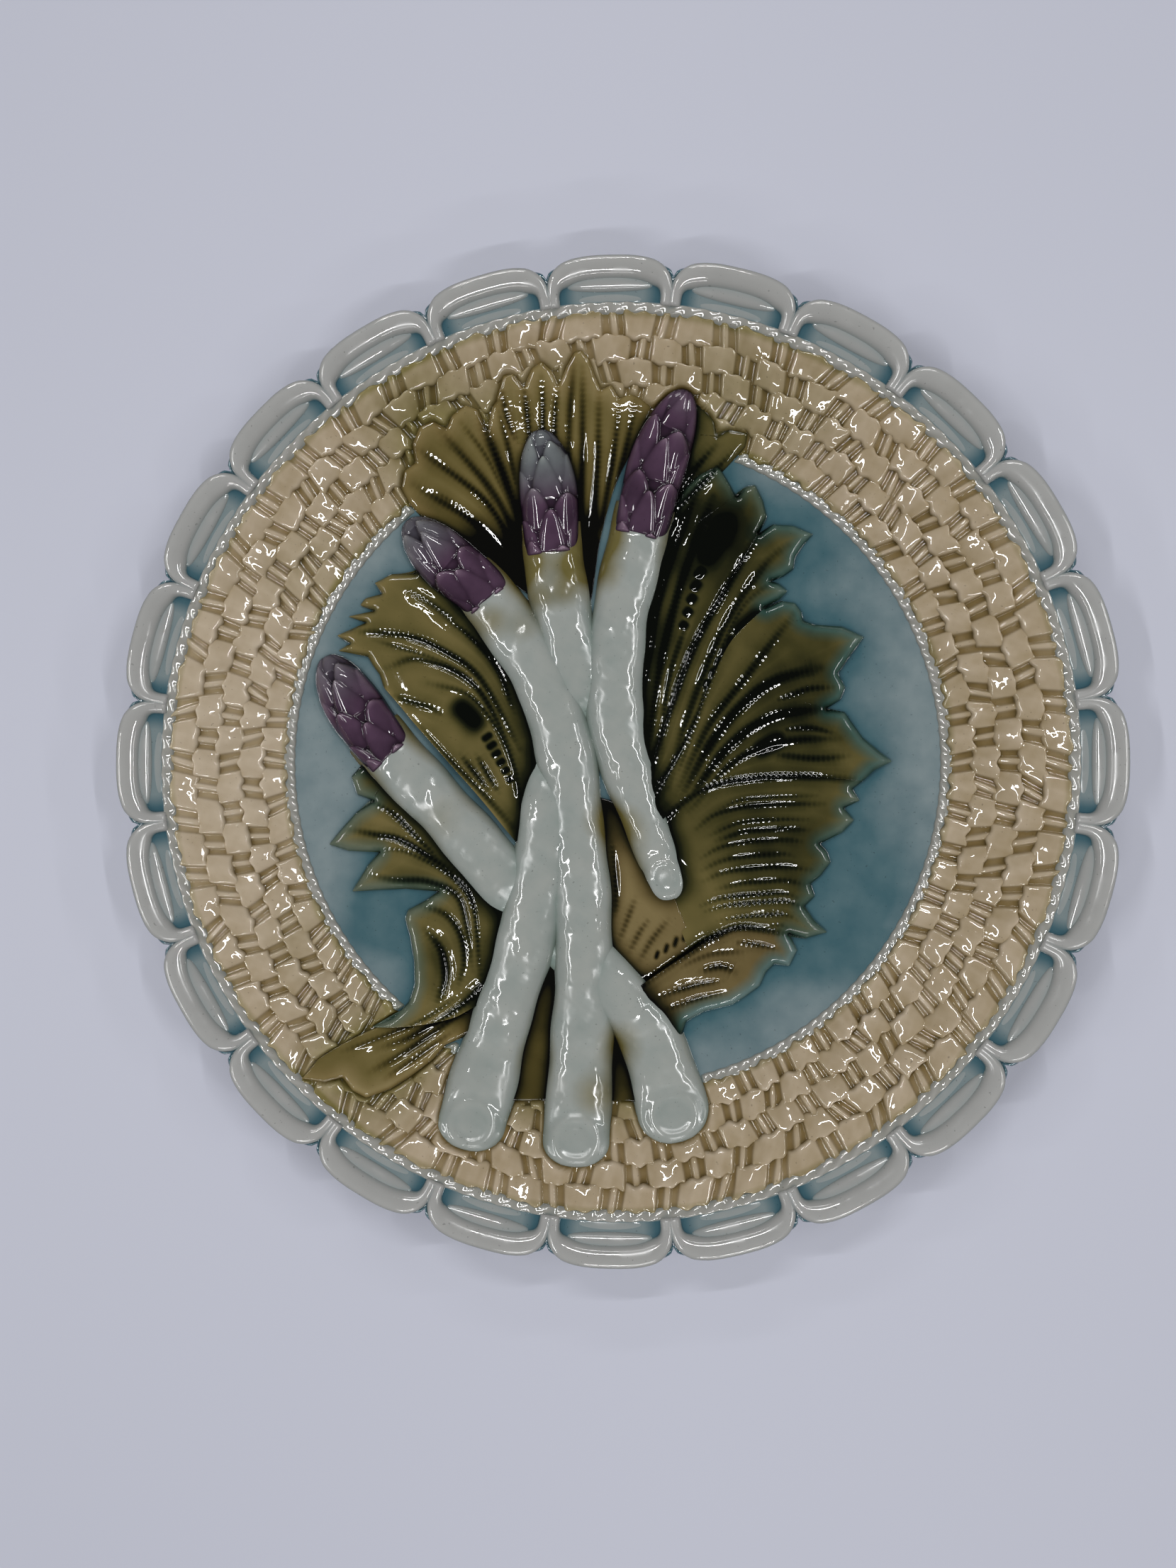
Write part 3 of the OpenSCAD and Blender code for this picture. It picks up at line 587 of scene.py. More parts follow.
leaves = {
    "leaf_top_left": dict(
        inner=[[-46, 59], [-34, 52], [-22, 43], [-16, 40], [-17, 52], [-19, 66], [-20, 80]],
        margin=[
            [-48, 62], [-51, 65], [-53, 69], [-52, 73], [-49, 75], [-49.5, 79], [-47.5, 83], [-44, 84.5],
            [-41, 83], [-39.5, 86], [-36, 88.5], [-33, 87.5], [-31, 83], [-29.5, 88], [-27, 91],
            [-24.5, 88], [-23, 82],
        ],
        high=0.55, brown=0.8,
    ),
    "leaf_top_middle": dict(
        inner=[[-25, 80], [-18, 79], [-12, 74], [-10, 60], [-6, 40], [-3, 56], [1, 70], [8, 84]],
        margin=[
            [-28, 84], [-28.5, 90], [-26.5, 95], [-24, 95.5], [-21.5, 92.5], [-19.5, 96.5], [-17, 98],
            [-14.5, 96], [-13, 93], [-11, 97], [-9, 100], [-7, 100.5], [-5.2, 98.5], [-4, 95], [-2.5, 92],
            [0, 93], [2, 90], [4.5, 91], [7, 90], [10, 88],
        ],
        high=0.55, brown=0.8,
    ),
    "leaf_right_top": dict(
        behind=dict(
            inner=[[10, 60], [13, 70], [16, 80], [19, 88]],
            margin=[
                [15, 62], [21, 67], [27, 72], [33, 78], [33.5, 81], [29, 82], [26, 80.5], [25.5, 84],
                [23, 87], [20.5, 88.5],
            ],
            high=0.5,
        ),
        inner=[[2, -9], [1, 5], [2, 25], [6, 45], [10, 60], [13, 64]],
        seam=seam_top[:-1],
        margin=[
            seam_top[-1], [38.5, 61], [37.5, 65], [35.5, 69], [33, 68.5], [31, 66], [29.5, 69], [26.5, 74],
            [22, 72], [18, 68.5], [14.5, 64.5],
        ],
        teal=0.7,
        eyes=row_of_eyes((17.8, 34), (21.8, 47), 5, 50, 2.9, 1.8) + [(26, 55, 58, 12, 3.8)],
    ),
    "leaf_right_high": dict(
        inner=seam_top,
        seam=seam_eyes[:-1],
        margin=[
            seam_eyes[-1], [41.5, 40.5], [43.5, 42.5], [41.5, 44.3], [39.5, 45], [42.5, 46.2], [45, 48],
            [45.5, 51], [47.5, 54], [49.8, 56.6], [45, 58.8], [40, 59.2], seam_top[-1],
        ],
        teal=0.9,
        eyes=row_of_eyes((23.5, 19.5), (29.3, 29.8), 5, 75, 3.4, 1.8) + [(34, 34, 40, 9, 4.4)],
    ),
    "leaf_right_middle": dict(
        inner=seam_eyes,
        seam=seam_middle[:-1],
        margin=[
            seam_middle[-1], [64.5, -2], [69, 0.3], [66, 2.6], [62, 6], [59.5, 9.5], [57.5, 12.5],
            [53, 13.2], [56.5, 15.5], [57.8, 18.5], [56, 22], [59, 26.5], [62.3, 31], [57, 33.6],
            [50, 34.2], [47.5, 35.2], [47, 37.5], [45.5, 39.6], [42, 40.2], seam_eyes[-1],
        ],
        teal=1.0,
        eyes=[(38.7, 4.4, 28, 7.5, 3.2)],
    ),
    "leaf_right_low": dict(
        inner=seam_heart,
        seam=seam_middle[:-1],
        margin=[
            seam_middle[-1], [59.5, -6.5], [61.3, -9.3], [57.3, -11.2], [59.8, -14.2], [57, -17.2],
            [51.5, -20], [53.3, -22], [54.2, -24.6], [51.7, -28], [49.3, -30], [50.3, -33], [47.7, -35.6],
            [50, -39], [53.3, -42], [48, -43.6], seam_foot[-1],
        ],
        after=[seam_foot[3], seam_foot[2], [19.2, -47.2]],
        teal=0.8,
    ),
    "leaf_right_foot": dict(
        inner=seam_foot,
        seam=[[3, -60], [9, -68], [14, -72]],
        margin=[
            [17, -70], [18.5, -64.5], [23, -62], [30, -60.3], [33, -58.3], [36.6, -55.6], [38.3, -52],
            [40.3, -50], [44, -50.5], [46, -46.5], seam_foot[-1],
        ],
        teal=0.95, finish=foot_glaze,
    ),
    "leaf_heart": dict(
        inner=[[-5, -8], [-6, -26], [-6, -40], [-4, -52], [2, -60]],
        seam=[[8, -12], [12.5, -24], [16.5, -36]],
        margin=[[22, -49], [15, -55], [8, -60], [4, -63]],
        eyes=row_of_eyes((11.2, -47.8), (20.4, -41.4), 5, 72, 3.2, 0.9),
        high=0.55, brown=0.1, finish=foot_glaze,
    ),
    "leaf_left_high": dict(
        inner=[[-20, -20], [-18, 0], [-20, 12], [-24, 22], [-29, 32], [-39, 43], [-47, 51]],
        seam=[[-24, -20], [-32, -10], [-40, -1], [-48, 8], [-54, 15]],
        margin=[
            [-58, 19.5], [-59, 22.5], [-60.5, 24.5], [-62, 27], [-69.5, 28.5], [-66.5, 30.3], [-70, 32.3],
            [-62.5, 35.6], [-67, 37.2], [-60.5, 38.6], [-64, 40], [-62.5, 41.8], [-58.5, 42.8],
            [-60.3, 45.6], [-56, 47.8], [-50, 48],
        ],
        eyes=row_of_eyes((-25.5, -4), (-31.2, 6.5), 6, 35, 2.8, 1.5) + [(-36, 12, -45, 9.5, 5)],
    ),
    "leaf_left_low": dict(
        inner=[[-60, 4], [-51, -5], [-43, -14], [-33, -25], [-23, -38], [-25, -50], [-29, -60]],
        margin=[
            [-64, -1], [-66.3, -3.6], [-64.8, -8], [-60.5, -9.6], [-65, -12.6], [-69, -17], [-72, -20.6],
            [-67, -22.2], [-59, -22.6], [-62, -26], [-66, -32.6], [-60, -32.2], [-52, -31.8], [-44, -32.4],
            [-47, -34.6], [-51.8, -37.2], [-52.5, -39.5], [-51.2, -44], [-50.2, -50], [-50, -56],
            [-51.5, -60.5], [-55, -63.8], [-60, -66],
        ],
        after=[[-50, -66], [-40, -64], [-33, -60]],
        teal=0.7,
    ),
    "leaf_curl": dict(
        inner=[[-27, -50], [-36, -57.5], [-45, -61], [-54, -64.5], [-62, -67.5], [-68, -70.5], [-72, -73]],
        margin=[
            [-28, -65], [-37, -69], [-42, -71], [-45, -74.5], [-50, -78], [-54.5, -80.6], [-60, -82.4],
            [-63.5, -80.6], [-66, -77.6], [-70, -78.6], [-75.5, -77.5],
        ],
        high=0.75, brown=0.9,
    ),
    "leaf_gap_left": dict(
        inner=[[-13, -48], [-12, -66], [-12, -84]],
        margin=[[-16, -48], [-23, -66], [-30, -84]],
        high=0.4, brown=0.5,
    ),
    "leaf_gap_right": dict(
        inner=[[-2, -50], [-5, -66], [-5, -84]],
        margin=[[3, -52], [7, -66], [13, -84]],
        high=0.4, brown=0.5,
    ),
}
for node, leaf in leaves.items():
    sheaf = []
    for sheet in [leaf["behind"], leaf] if "behind" in leaf else [leaf]:
        high, after, eyes = sheet.get("high", 1.0), sheet.get("after", []), sheet.get("eyes", [])
        dip = 0.0 if sheet["inner"] in seams else 0.5
        drawn = sheet["inner"], sheet.get("seam", []), sheet["margin"], after
        x, y, height, from_edge, groove_shade = blade(*drawn, high, dip)
        hollow = sunk_eyes(x, y, eyes)
        height = height * (1 - eye_d * hollow)
        over, under = laid_on(x, y, height, let_in, bedded)
        press_in(over, covered, leaf_cover)
        run = sheet["brown"] if "brown" in sheet else sheet.get("teal", 0.15)
        run = run * (1 - ease(from_edge, 0, 6))
        # The eyelets and slots are pressed in by only a tenth of the leaf's height; their near-black is
        # painted shade.
        sheaf.append(closed_patch("fired_" + node, over, under, run, np.maximum(groove_shade, 0.9 * hollow)))
    finish = leaf.get("finish", brown_glaze if "brown" in leaf else leaf_glaze)
    fit(joined(sheaf), finish, "leaf_glaze", node)

# The four spears cross over each other from the rim to the well: rolls of clay, flattened underneath, with a
# slanted cut at the foot. Pale celadon glaze, stained olive and turquoise along their edges.
stalk_w = 15.4
stalk_h = 4.6
cut_l = 20.0
tuck_l = 18.0
tuck_d = 3.2
under_tip_d = 1.7
under_stalk_d = 2.4
cut_flare = 0.15
mark_h = 0.3
butt_across = 5.2
butt_along = 4.6
butt_in = 2.2
stalk_columns = np.sin(np.linspace(-np.pi / 2, np.pi / 2, 35))
stalk_cover = np.zeros((field_n, field_n))
spears = {
    "left": dict(
        line=[[-73, 27], [-66, 15], [-56, 2], [-40, -15], [-27, -30], [-15, -43]],
        foot=[[-14, -42], [-4, -52], [4.5, -61], [10, -70], [14, -82], [17, -93]],
        marks=[(-44, -8), (-56, 4), (6, -60)],
    ),
    "back": dict(
        line=[[-18, 83], [-16, 68], [-15, 53], [-13, 40], [-10, 25], [-8, 15], [-7, 3]],
        foot=[[-12, 5], [-15, -8], [-18, -25], [-22, -45], [-29, -68], [-36, -95]],
        marks=[(-22, -46), (-27, -62), (-13, 44)],
    ),
    "middle": dict(
        line=[
            [-52, 61], [-42, 51], [-31, 41], [-18, 21], [-12, 3], [-9, -20], [-7, -50], [-8, -78],
            [-9, -99],
        ],
        marks=[(-9, -26), (-6, -54), (-22, 30), (-12, -4)],
    ),
    "right": dict(
        line=[[18.5, 91], [11.5, 75], [7, 57], [2, 35], [1, 12], [6, -8], [15.5, -35]],
        marks=[(2, 34), (5, 52), (3, -2)],
        slim=0.74,
    ),
}


def strip(line, half, columns):
    """Points across a line, half a width to each side."""
    way = np.gradient(line, axis=0)
    way = way / np.linalg.norm(way, axis=1, keepdims=True)
    reach = np.broadcast_to(half, len(line))[:, None] * columns
    return line[:, :1] - way[:, 1:] * reach, line[:, 1:] + way[:, :1] * reach


def stalk(line, far, tucks, cut, marks, slim):
    """Grid of a stalk: domed, let down where it tucks under another, and cut on a slant at its foot."""
    half = stalk_w / 2 * (1 + 0.03 * np.sin(far / 6) + 0.025 * np.sin(far / 2.7 + 1))
    left = far[-1] - far
    top = stalk_h - 0.5 + 0.22 * np.sin(far / 8 + 2) + 0.1 * np.sin(far / 3.3)
    if "start" in tucks:
        top = top - tuck_d * (1 - ease(far, 0, tuck_l))
    else:
        top = top - under_tip_d * (1 - ease(far, 3, 9))
    if "end" in tucks:
        top = top - (1 - ease(left, tuck_l, 2 * tuck_l))
        top = top - under_stalk_d * (1 - ease(left, 0.3 * tuck_l, tuck_l))
    half = half * (1 - (1 - slim) * ease(far, 0.55 * far[-1], 0.85 * far[-1]))
    if cut and slim == 1:
        half = half * (1 + cut_flare * (1 - ease(left, 0, 2 * cut_l)))
    if cut:
        half = half * np.maximum(0.1, np.sqrt(1 - np.clip(1 - left / (0.8 * half), 0, 1) ** 2.2))
    dome = top[:, None] * (1 - np.abs(stalk_columns) ** 2.6) ** 0.62
    x, y = strip(line, half, stalk_columns)
    uneven = np.sin(x * 0.9 + 2 * np.sin(y * 0.33)) * np.sin(y * 0.7 + x * 0.3)
    uneven = uneven + np.sin(x * 2.1 + y) * np.sin(y * 1.9) / 2
    dome = dome + 0.08 * uneven * (1 - stalk_columns**4)
    for mark_x, mark_y in marks:
        beyond = np.hypot(x - mark_x, (y - mark_y) * 0.6)
        dome = dome + mark_h * np.exp(-((beyond / 2.0) ** 4)) * (1 - np.abs(stalk_columns) ** 4)
    if cut:
        disc_along = (left[:, None] - butt_along - butt_in) / butt_along
        disc = np.hypot(disc_along, stalk_columns * half[:, None] / butt_across / slim)
        dome = dome * (1 - 0.5 * (1 - ease(left, 2, cut_l)))[:, None]
        ring = 0.16 * np.exp(-(((disc - 1) / 0.2) ** 2)) - 0.2 * np.exp(-(((disc - 0.7) / 0.18) ** 2))
        ring = ring - 0.16 * np.exp(-(((disc - 1.36) / 0.2) ** 2))
        dome = (dome + ring) * np.sqrt(1 - np.clip(1 - left / 3.0, 0, 1) ** 2)[:, None]
    return laid_on(x, y, dome, let_in, bedded)


stalk_glaze = glaze(
    "celadon_stalk_glaze",
    [(168, 168, 162), (154, 156, 151), (138, 144, 140), (110, 124, 118), (62, 66, 44)],
    [(136, 130, 96), (116, 108, 68), (94, 86, 46), (62, 55, 26), (34, 30, 12)],
    mottle=0.32, coat=0.0, gloss=0.06, dull=0.24, waves_h=0.1, bend=1.5,
)
stalk_lines = {}
for name, spear in spears.items():
    line, far = smooth_line(spear["line"])
    tip_end = np.argmin(np.linalg.norm(line - spear["line"][2], axis=1))
    stalk_lines[name] = line, far, tip_end
    start = tip_end - 12
    upper = line[start:], far[start:] - far[start]
    lengths = [(*upper, (), True)]
    if "foot" in spear:
        lengths = [(*upper, ("end",), False), (*smooth_line(spear["foot"]), ("start",), True)]
    rolls = []
    for path, gone, tucks, cut in lengths:
        over, under = stalk(path, gone, tucks, cut, spear["marks"], spear.get("slim", 1))
        press_in(over, covered, stalk_cover)
        stain = 0.3 * ease(np.abs(stalk_columns), 0.6, 1.0) * np.ones((len(path), 1))
        if "start" not in tucks:
            stain = stain + 0.5 * (1 - ease(gone, 4, 22))[:, None] * ease(np.abs(stalk_columns), 0.15, 0.9)
        rolls.append(closed_patch("fired_stalk_" + name, over, under, np.clip(stain, 0, 1)))
    fit(joined(rolls), stalk_glaze, "stalk_glaze", "stalk_" + name)

# The tip of each spear, modelled scale by scale in overlapping bracts that close in a round point. Purple
# glaze, thin and lilac on the edges of the bracts, partly as painted highlight, and deep between them, partly
# as painted shade; celadon has run over some points.
tip_w = 15.0
tip_h = 5.8
bract_l = 6.6
bract_long = 1.5
bract_h = 1.4
tip_columns = np.linspace(-1, 1, 71)
tip_step = 0.3
tip_glaze = glaze(
    "purple_tip_glaze",
    [(150, 130, 146), (110, 90, 106), (74, 54, 72), (44, 29, 43), (16, 9, 16)],
    [(150, 156, 152), (126, 132, 130), (98, 102, 104), (64, 64, 70), (28, 26, 32)],
    mottle=0.36, coat=0.0, bend=1.45,
)
celadon_caps = {"left": 0.4, "middle": 0.6, "back": 0.95, "right": 0.15}


def bracts(q, v, turn_by):
    """Height of the scales over a tip: q counts rows from the stalk up, v goes from side to side."""
    height = np.zeros(np.broadcast_shapes(q.shape, v.shape))
    for row in range(-1, 7):
        for k, middle in enumerate((-0.6, 0.55) if row % 2 else (-1.0, 0.05, 1.05)):
            uneven = np.sin(row * 3.1 + k * 5.3 + turn_by)
            a = (q - row + 0.3 * uneven) / bract_long
            half = (0.6 + 0.1 * uneven) * np.sqrt(np.clip(1 - np.clip(a, 0, 1) ** 1.7, 0, 1)) + 1e-6
            side = np.clip(np.abs(v - middle - 0.12 * np.sin(row * 1.7 + turn_by)) / half, 0, 1)
            scale = (0.25 + 0.75 * np.clip(a, 0, 1) ** 0.8) * np.sqrt(1 - side**2.2)
            height = np.maximum(height, np.where((a > -0.05) & (a < 1), scale, 0))
    return height


for name, (line, far, tip_end) in stalk_lines.items():
    length = far[tip_end] + 1.5
    steps = np.linspace(0, length, int(length / tip_step))
    path = at_steps(steps, far, line)
    s = steps / length
    to_point = np.sqrt(1 - np.clip((0.55 - s) / 0.56, 0, 1) ** 2.2)
    form = np.where(s > 0.55, 1 - 0.1 * (s - 0.55) / 0.45, to_point)
    half = tip_w / 2 * np.maximum(form, 0.1)
    scales = bracts(((length - steps) / bract_l)[:, None], tip_columns[None, :], length)
    dome = np.sqrt(np.clip(1 - np.abs(tip_columns) ** 2.2, 0, 1))
    scales = bract_h * scales * dome**0.5 * np.minimum(1, form * 1.2)[:, None]
    height = (tip_h - bract_h) * form[:, None] * dome + scales
    height = height * ease(length - steps, -0.2, 1.2)[:, None] ** 0.5
    x, y = strip(path, half, tip_columns)
    over, under = laid_on(x, y, height, let_in, bedded)
    press_in(over, covered)
    cap = celadon_caps[name] * (1 - ease(s, 0.1, 0.75))[:, None]
    tip = closed_patch("fired_tip_" + name, over, under, np.broadcast_to(cap, height.shape))
    fit(tip, tip_glaze, "tip_glaze", "tip_" + name)

# The two ropes that bound the weave, twisted from a roll of clay and laid on in a ring. Where a leaf or a
# spear lies over the ring it is pressed flat. Thin blue white glaze.
rim_rope_r = 109.0
well_rope_r = 82.0
rope_w = 2.7
rope_h = 0.8
rope_columns = 11
rope_grain = 9
hidden = soften(covered, 0.6)
rope_glaze = glaze(
    "blue_white_rope_glaze",
    [(152, 151, 146), (140, 139, 132), (126, 130, 126), (96, 108, 106)],
    [(122, 128, 116), (96, 104, 86), (70, 76, 54)],
)
for node, rope_r, twists in (("outer_rope", rim_rope_r, 150), ("inner_rope", well_rope_r, 156)):
    angles = around(twists * rope_grain)
    section = np.linspace(np.pi, 0, rope_columns)
    twist = np.cos(twists * angles[:, None] + 2.4 * np.cos(section))
    r = rope_r + rope_w / 2 * np.cos(section)[None, :] * (1 + 0.05 * twist)
    height = rope_h * np.sin(section) ** 0.8 * (1 + 0.2 * twist)
    spots = np.stack([r * np.cos(angles)[:, None], r * np.sin(angles)[:, None]], -1)
    height = height * (1 - ease(look_up(hidden, spots), 0.15, 0.6)) - let_in
    over = turned(r, face_z(r) + height, angles)
    low = turned(r[:, [-1, 0]], face_z(r[:, [-1, 0]]) - bedded, angles)
    press(relief, over, rise(over))
    rope = closed_ring("fired_" + node, np.concatenate([over, low], 1))
    fit(rope, rope_glaze, "rope_glaze", node)

# The basket weave on the rim, five rows pressed in the mould: each strand is a flat ribbon that rises over
# the stake below it and dips at both ends, where the stake shows between two hollows. Straw glaze, brown in
# the hollows, partly as painted shade, and olive near the leaves and the ropes.
weave_rows = 5
weave_count = 48
weave_in = well_rope_r + rope_w / 2 - 0.4
weave_out = rim_rope_r - rope_w / 2 + 0.2
row_w = (weave_out - weave_in) / weave_rows
strand_h = 1.4
lap = 0.2
jog_most = 0.085
lean_most = 0.11
least_tall, most_tall = 0.78, 1.12
tip_up_most = 0.28
wander_w = 0.19
olive_w = 1.6
from_gap = np.array([
    0, 0.02, 0.04, 0.054, 0.068, 0.088, 0.115, 0.148, 0.175, 0.19, 0.202,
    0.212, 0.224, 0.24, 0.262, 0.29, 0.33, 0.37, 0.41, 0.445, 0.473,
])
gap_rise = np.array([
    0.62, 0.61, 0.55, 0.42, 0.22, 0.08, 0.04, 0.04, 0.08, 0.2, 0.38,
    0.52, 0.6, 0.66, 0.71, 0.76, 0.82, 0.88, 0.94, 0.98, 0.995,
])
along = np.concatenate([from_gap, [0.5], 1 - from_gap[:0:-1]])
strand_rise = np.concatenate([gap_rise, [1.0], gap_rise[:0:-1]])
half_across = np.array([0, 0.25, 0.5, 0.7, 0.84, 0.94, 1.03, 1.12, 1 + lap])
across = np.concatenate([-half_across[:0:-1], half_across])
rise_round = np.tile(strand_rise, weave_count)[:, None]
side = np.clip((1 + lap - np.abs(across)) / 0.34, 0, 1)
ribbon = (0.45 + 0.55 * np.sqrt(1 - (1 - side) ** 2)) * (1.04 - 0.08 * across**2)
chance = np.random.default_rng(7)
weave_glaze = glaze(
    "straw_weave_glaze",
    [(186, 172, 152), (170, 155, 133), (146, 130, 102), (110, 92, 58), (74, 60, 28)],
    [(146, 136, 102), (124, 114, 74), (96, 87, 46), (68, 60, 26), (40, 36, 12)],
    mottle=0.24, coat=0.0, bend=1.5,
)
for row in range(1, weave_rows + 1):
    jog = chance.uniform(-jog_most, jog_most, weave_count)[:, None]
    lean = chance.uniform(-lean_most, lean_most, weave_count)[:, None]
    tall = chance.uniform(least_tall, most_tall, weave_count)[:, None]
    tip_up = chance.uniform(-tip_up_most, tip_up_most, weave_count)[:, None]
    slide = (jog * (1 - along) + np.roll(jog, -1, 0) * along).reshape(-1, 1)
    tilt = (lean * (1 - along) + np.roll(lean, -1, 0) * along).reshape(-1, 1)
    gap = np.arange(weave_count)[:, None] + 0.5 + (row % 2) / 2
    angles = ((gap + along).reshape(-1, 1) + slide + tilt * across) * 2 * np.pi / weave_count
    crown = 1 + (tall - 1) * ease(np.minimum(along, 1 - along), 0.12, 0.35)
    height = strand_h * (strand_rise * crown).reshape(-1, 1) * ribbon
    wander = 0
    for waves in (71, 113, 167):
        wander = wander + wander_w * np.sin(waves * angles + chance.uniform(0, 2 * np.pi))
    r = weave_in + (row - 0.5) * row_w + across * row_w / 2 + wander
    x, y = r * np.cos(angles), r * np.sin(angles)
    slope = (tip_up * ease(np.minimum(along, 1 - along), 0.14, 0.3)).reshape(-1, 1) * across
    lumps = 0.06 * np.sin(1.3 * x + 0.7 * np.sin(0.9 * y)) * np.sin(1.2 * y + 0.8 * np.sin(1.1 * x))
    lumps = lumps + 0.03 * np.sin(2.7 * x + 1.1 * y) * np.sin(2.4 * y - 1.3 * x)
    height = height * (1 + slope) + lumps * rise_round
    height = height * (1 - ease(look_up(hidden, np.stack([x, y], -1)), 0.1, 0.7)) + 0.08
    over = np.stack([x, y, face_z(r) + height], -1)
    low = np.stack([x, y, face_z(r) - bedded], -1)[:, [-1, 0]]
    press_in(over)
    olive = 0.5 * (1 - ease(np.minimum(weave_out - r, r - weave_in), 0, olive_w))
    olive = np.concatenate([olive, olive[:, [-1, 0]]], 1)
    strands = closed_ring(f"fired_weave_row_{row}", np.concatenate([over, low], 1), olive)
    fit(strands, weave_glaze, "weave_glaze", f"weave_row_{row}")

# The scalloped edge outside the outer rope, cut from the body's own clay with a round nose. Blue glaze has
# run into its hollows and stands there deep, darkened further with painted shade.
scallops = 24
plate_r = cad_box[1].x / MM
nick = 2.9
edge_t = 3.2
nose = 1.2
edge_back = 0.4
edge_sink = 0.15
nose_sink = 0.3
under_sink = 0.4
edge_grain = 44
edge_columns = 20
edge_in = body_r - 0.6
angles = around(scallops * edge_grain)
side = np.abs(2 * ((angles / (2 * np.pi) * scallops + 0.5) % 1) - 1)
rim = plate_r - edge_back - nick * (1 - (1 - side**2.5) ** 0.4)
share = np.linspace(0, 1, edge_columns)
nose_turn = np.linspace(np.pi / 2, -np.pi / 2, 8)
top_r = edge_in + (rim[:, None] - nose - edge_in) * share
nose_r = rim[:, None] - nose + nose * np.cos(nose_turn)
low_r = edge_in + (rim[:, None] - nose - edge_in) * share[::-4]
nose_z = face_z(rim)[:, None] - nose_sink - edge_t / 2 + edge_t / 2 * np.sin(nose_turn)
section_r = np.concatenate([top_r, nose_r, low_r], 1)
low_z = face_z(low_r) - under_sink - edge_t
section_z = np.concatenate([face_z(top_r) - edge_sink, nose_z, low_z], 1)
edge_glaze = glaze(
    "deep_blue_edge_glaze",
    [(148, 150, 147), (134, 140, 139), (116, 129, 131), (90, 112, 118), (56, 86, 96)],
    [(98, 117, 122), (74, 102, 110), (50, 83, 94), (32, 62, 73)],
)
edge_points = turned(section_r, section_z, angles)
press_in(edge_points[:, :edge_columns])
edge_run = 0.9 * ease(side, 0.45, 0.8)[:, None]
edge = closed_ring("fired_scalloped_edge", edge_points, edge_run)
fit(edge, edge_glaze, "edge_glaze", "scalloped_edge")

# The rolled lip of each scallop, an arch of clay whose ends run in to the rope, with a ridge inside it and a
# finer one next to the rope. Thin celadon glaze, almost white where it stretches over the roll.
lip_w = 5.2
lip_end_w = 3.2
lip_h = 1.5
lip_let_in = 0.25
lip_bedded = 1.0
ridge_w = 3.6
ridge_h = 0.8
ridge_r = 114.2
fine_w = 2.2
fine_h = 0.2
fine_r = 111.0
arch_square = 3.4
lip_columns = np.sin(np.linspace(-np.pi / 2, np.pi / 2, 13))
lip_steps = 61
lip_glaze = glaze(
    "celadon_lip_glaze",
    [(160, 160, 158), (150, 150, 148), (136, 141, 140), (106, 124, 128), (66, 100, 110)],
    [(120, 132, 134), (92, 114, 120), (60, 92, 102)],
    coat=0.0, dull=0.2,
)


def bead(line, half, high):
    """Grid of a round bead along a line, closing in at both its ends."""
    x, y = strip(line, half, lip_columns)
    dome = np.broadcast_to(high, len(line))[:, None] * (1 - np.abs(lip_columns) ** 2.6) ** 0.55
    return laid_on(x, y, dome, lip_let_in, lip_bedded)


arch_h = plate_r - lip_w / 2 - edge_in
arch_a = np.pi / scallops - (lip_end_w / 2 - 0.7) / body_r
ends_in = np.linspace(0, np.pi, lip_steps)
arch_r = edge_in + arch_h * np.sin(ends_in) ** (2 / arch_square)
arch_way = -arch_a * np.sign(np.cos(ends_in)) * np.abs(np.cos(ends_in)) ** (2 / arch_square)
closing = np.sin(ends_in) ** 0.35
for i in range(scallops):
    middle = i * 2 * np.pi / scallops
    arch = np.stack([arch_r * np.cos(middle + arch_way), arch_r * np.sin(middle + arch_way)], -1)
    far = gone_along(arch)
    even = np.linspace(0, far[-1], lip_steps)
    arch = at_steps(even, far, arch)
    from_end = ease(np.minimum(even, far[-1] - even), 2.5, 9.0)
    lip_half = (lip_end_w + (lip_w - lip_end_w) * from_end) / 2
    beads = [bead(arch, lip_half, lip_h)]
    for bead_r, wide, high, keep in ((ridge_r, ridge_w, ridge_h, 0.74), (fine_r, fine_w, fine_h, 0.6)):
        way = middle + np.linspace(-1, 1, lip_steps) * arch_a * keep
        run = np.stack([bead_r * np.cos(way), bead_r * np.sin(way)], -1)
        beads.append(bead(run, wide / 2 * np.maximum(closing, 0.15), high * closing))
    rolls = []
    for over, under in beads:
        press_in(over)
        rolls.append(closed_patch(f"fired_scallop_{i + 1}", over, under, 0.0))
    fit(joined(rolls), lip_glaze, "lip_glaze", f"scallop_{i + 1}")

# The glazes are brushed on thick and flow in the kiln: they run off every ridge and gather in the hollows,
# along the foot of each relief and round the points of the leaves. The darkening in the hollows and along the
# foot of each relief is also painted shade, set by how far each point lies below the blurred relief around
# it. Each point of each piece gets its depth.
near, wide_round = soften(relief, 0.9), soften(relief, 3.0)
leaf_near, leaf_far = soften(leaf_cover, 3.0), soften(leaf_cover, 8.0)
# The spears' blurred footprint, and how strongly it paints shade on the leaves beside them.
stalk_shade_field = soften(stalk_cover, 2.2)
shade_beside_stalks = 0.65
underside = -1.0
underside_pool = 0.2
# Painted shade with gathered glaze, for each finish: a flat amount, and how much lying below the near and the
# broad blurred relief darkens it.
gather_and_shade = {
    "well_glaze": (0.28, 0.10, 0.10), "bare_foot": (0.3, 0.0, 0.0), "edge_glaze": (0.3, 0.35, 0.1),
    "rope_glaze": (0.3, 0.7, 0.1), "weave_glaze": (0.34, 0.38, 0.1), "lip_glaze": (0.3, 0.5, 0.1),
    "stalk_glaze": (0.34, 0.10, 0.10), "tip_glaze": (0.45, 0.55, 0.06), "leaf_glaze": (0.26, 0.4, 0.14),
}
leaf_runs = {"well_glaze": (0.3, 0.9), "weave_glaze": (0.45, 0.4), "rope_glaze": (0.3, 0.6)}
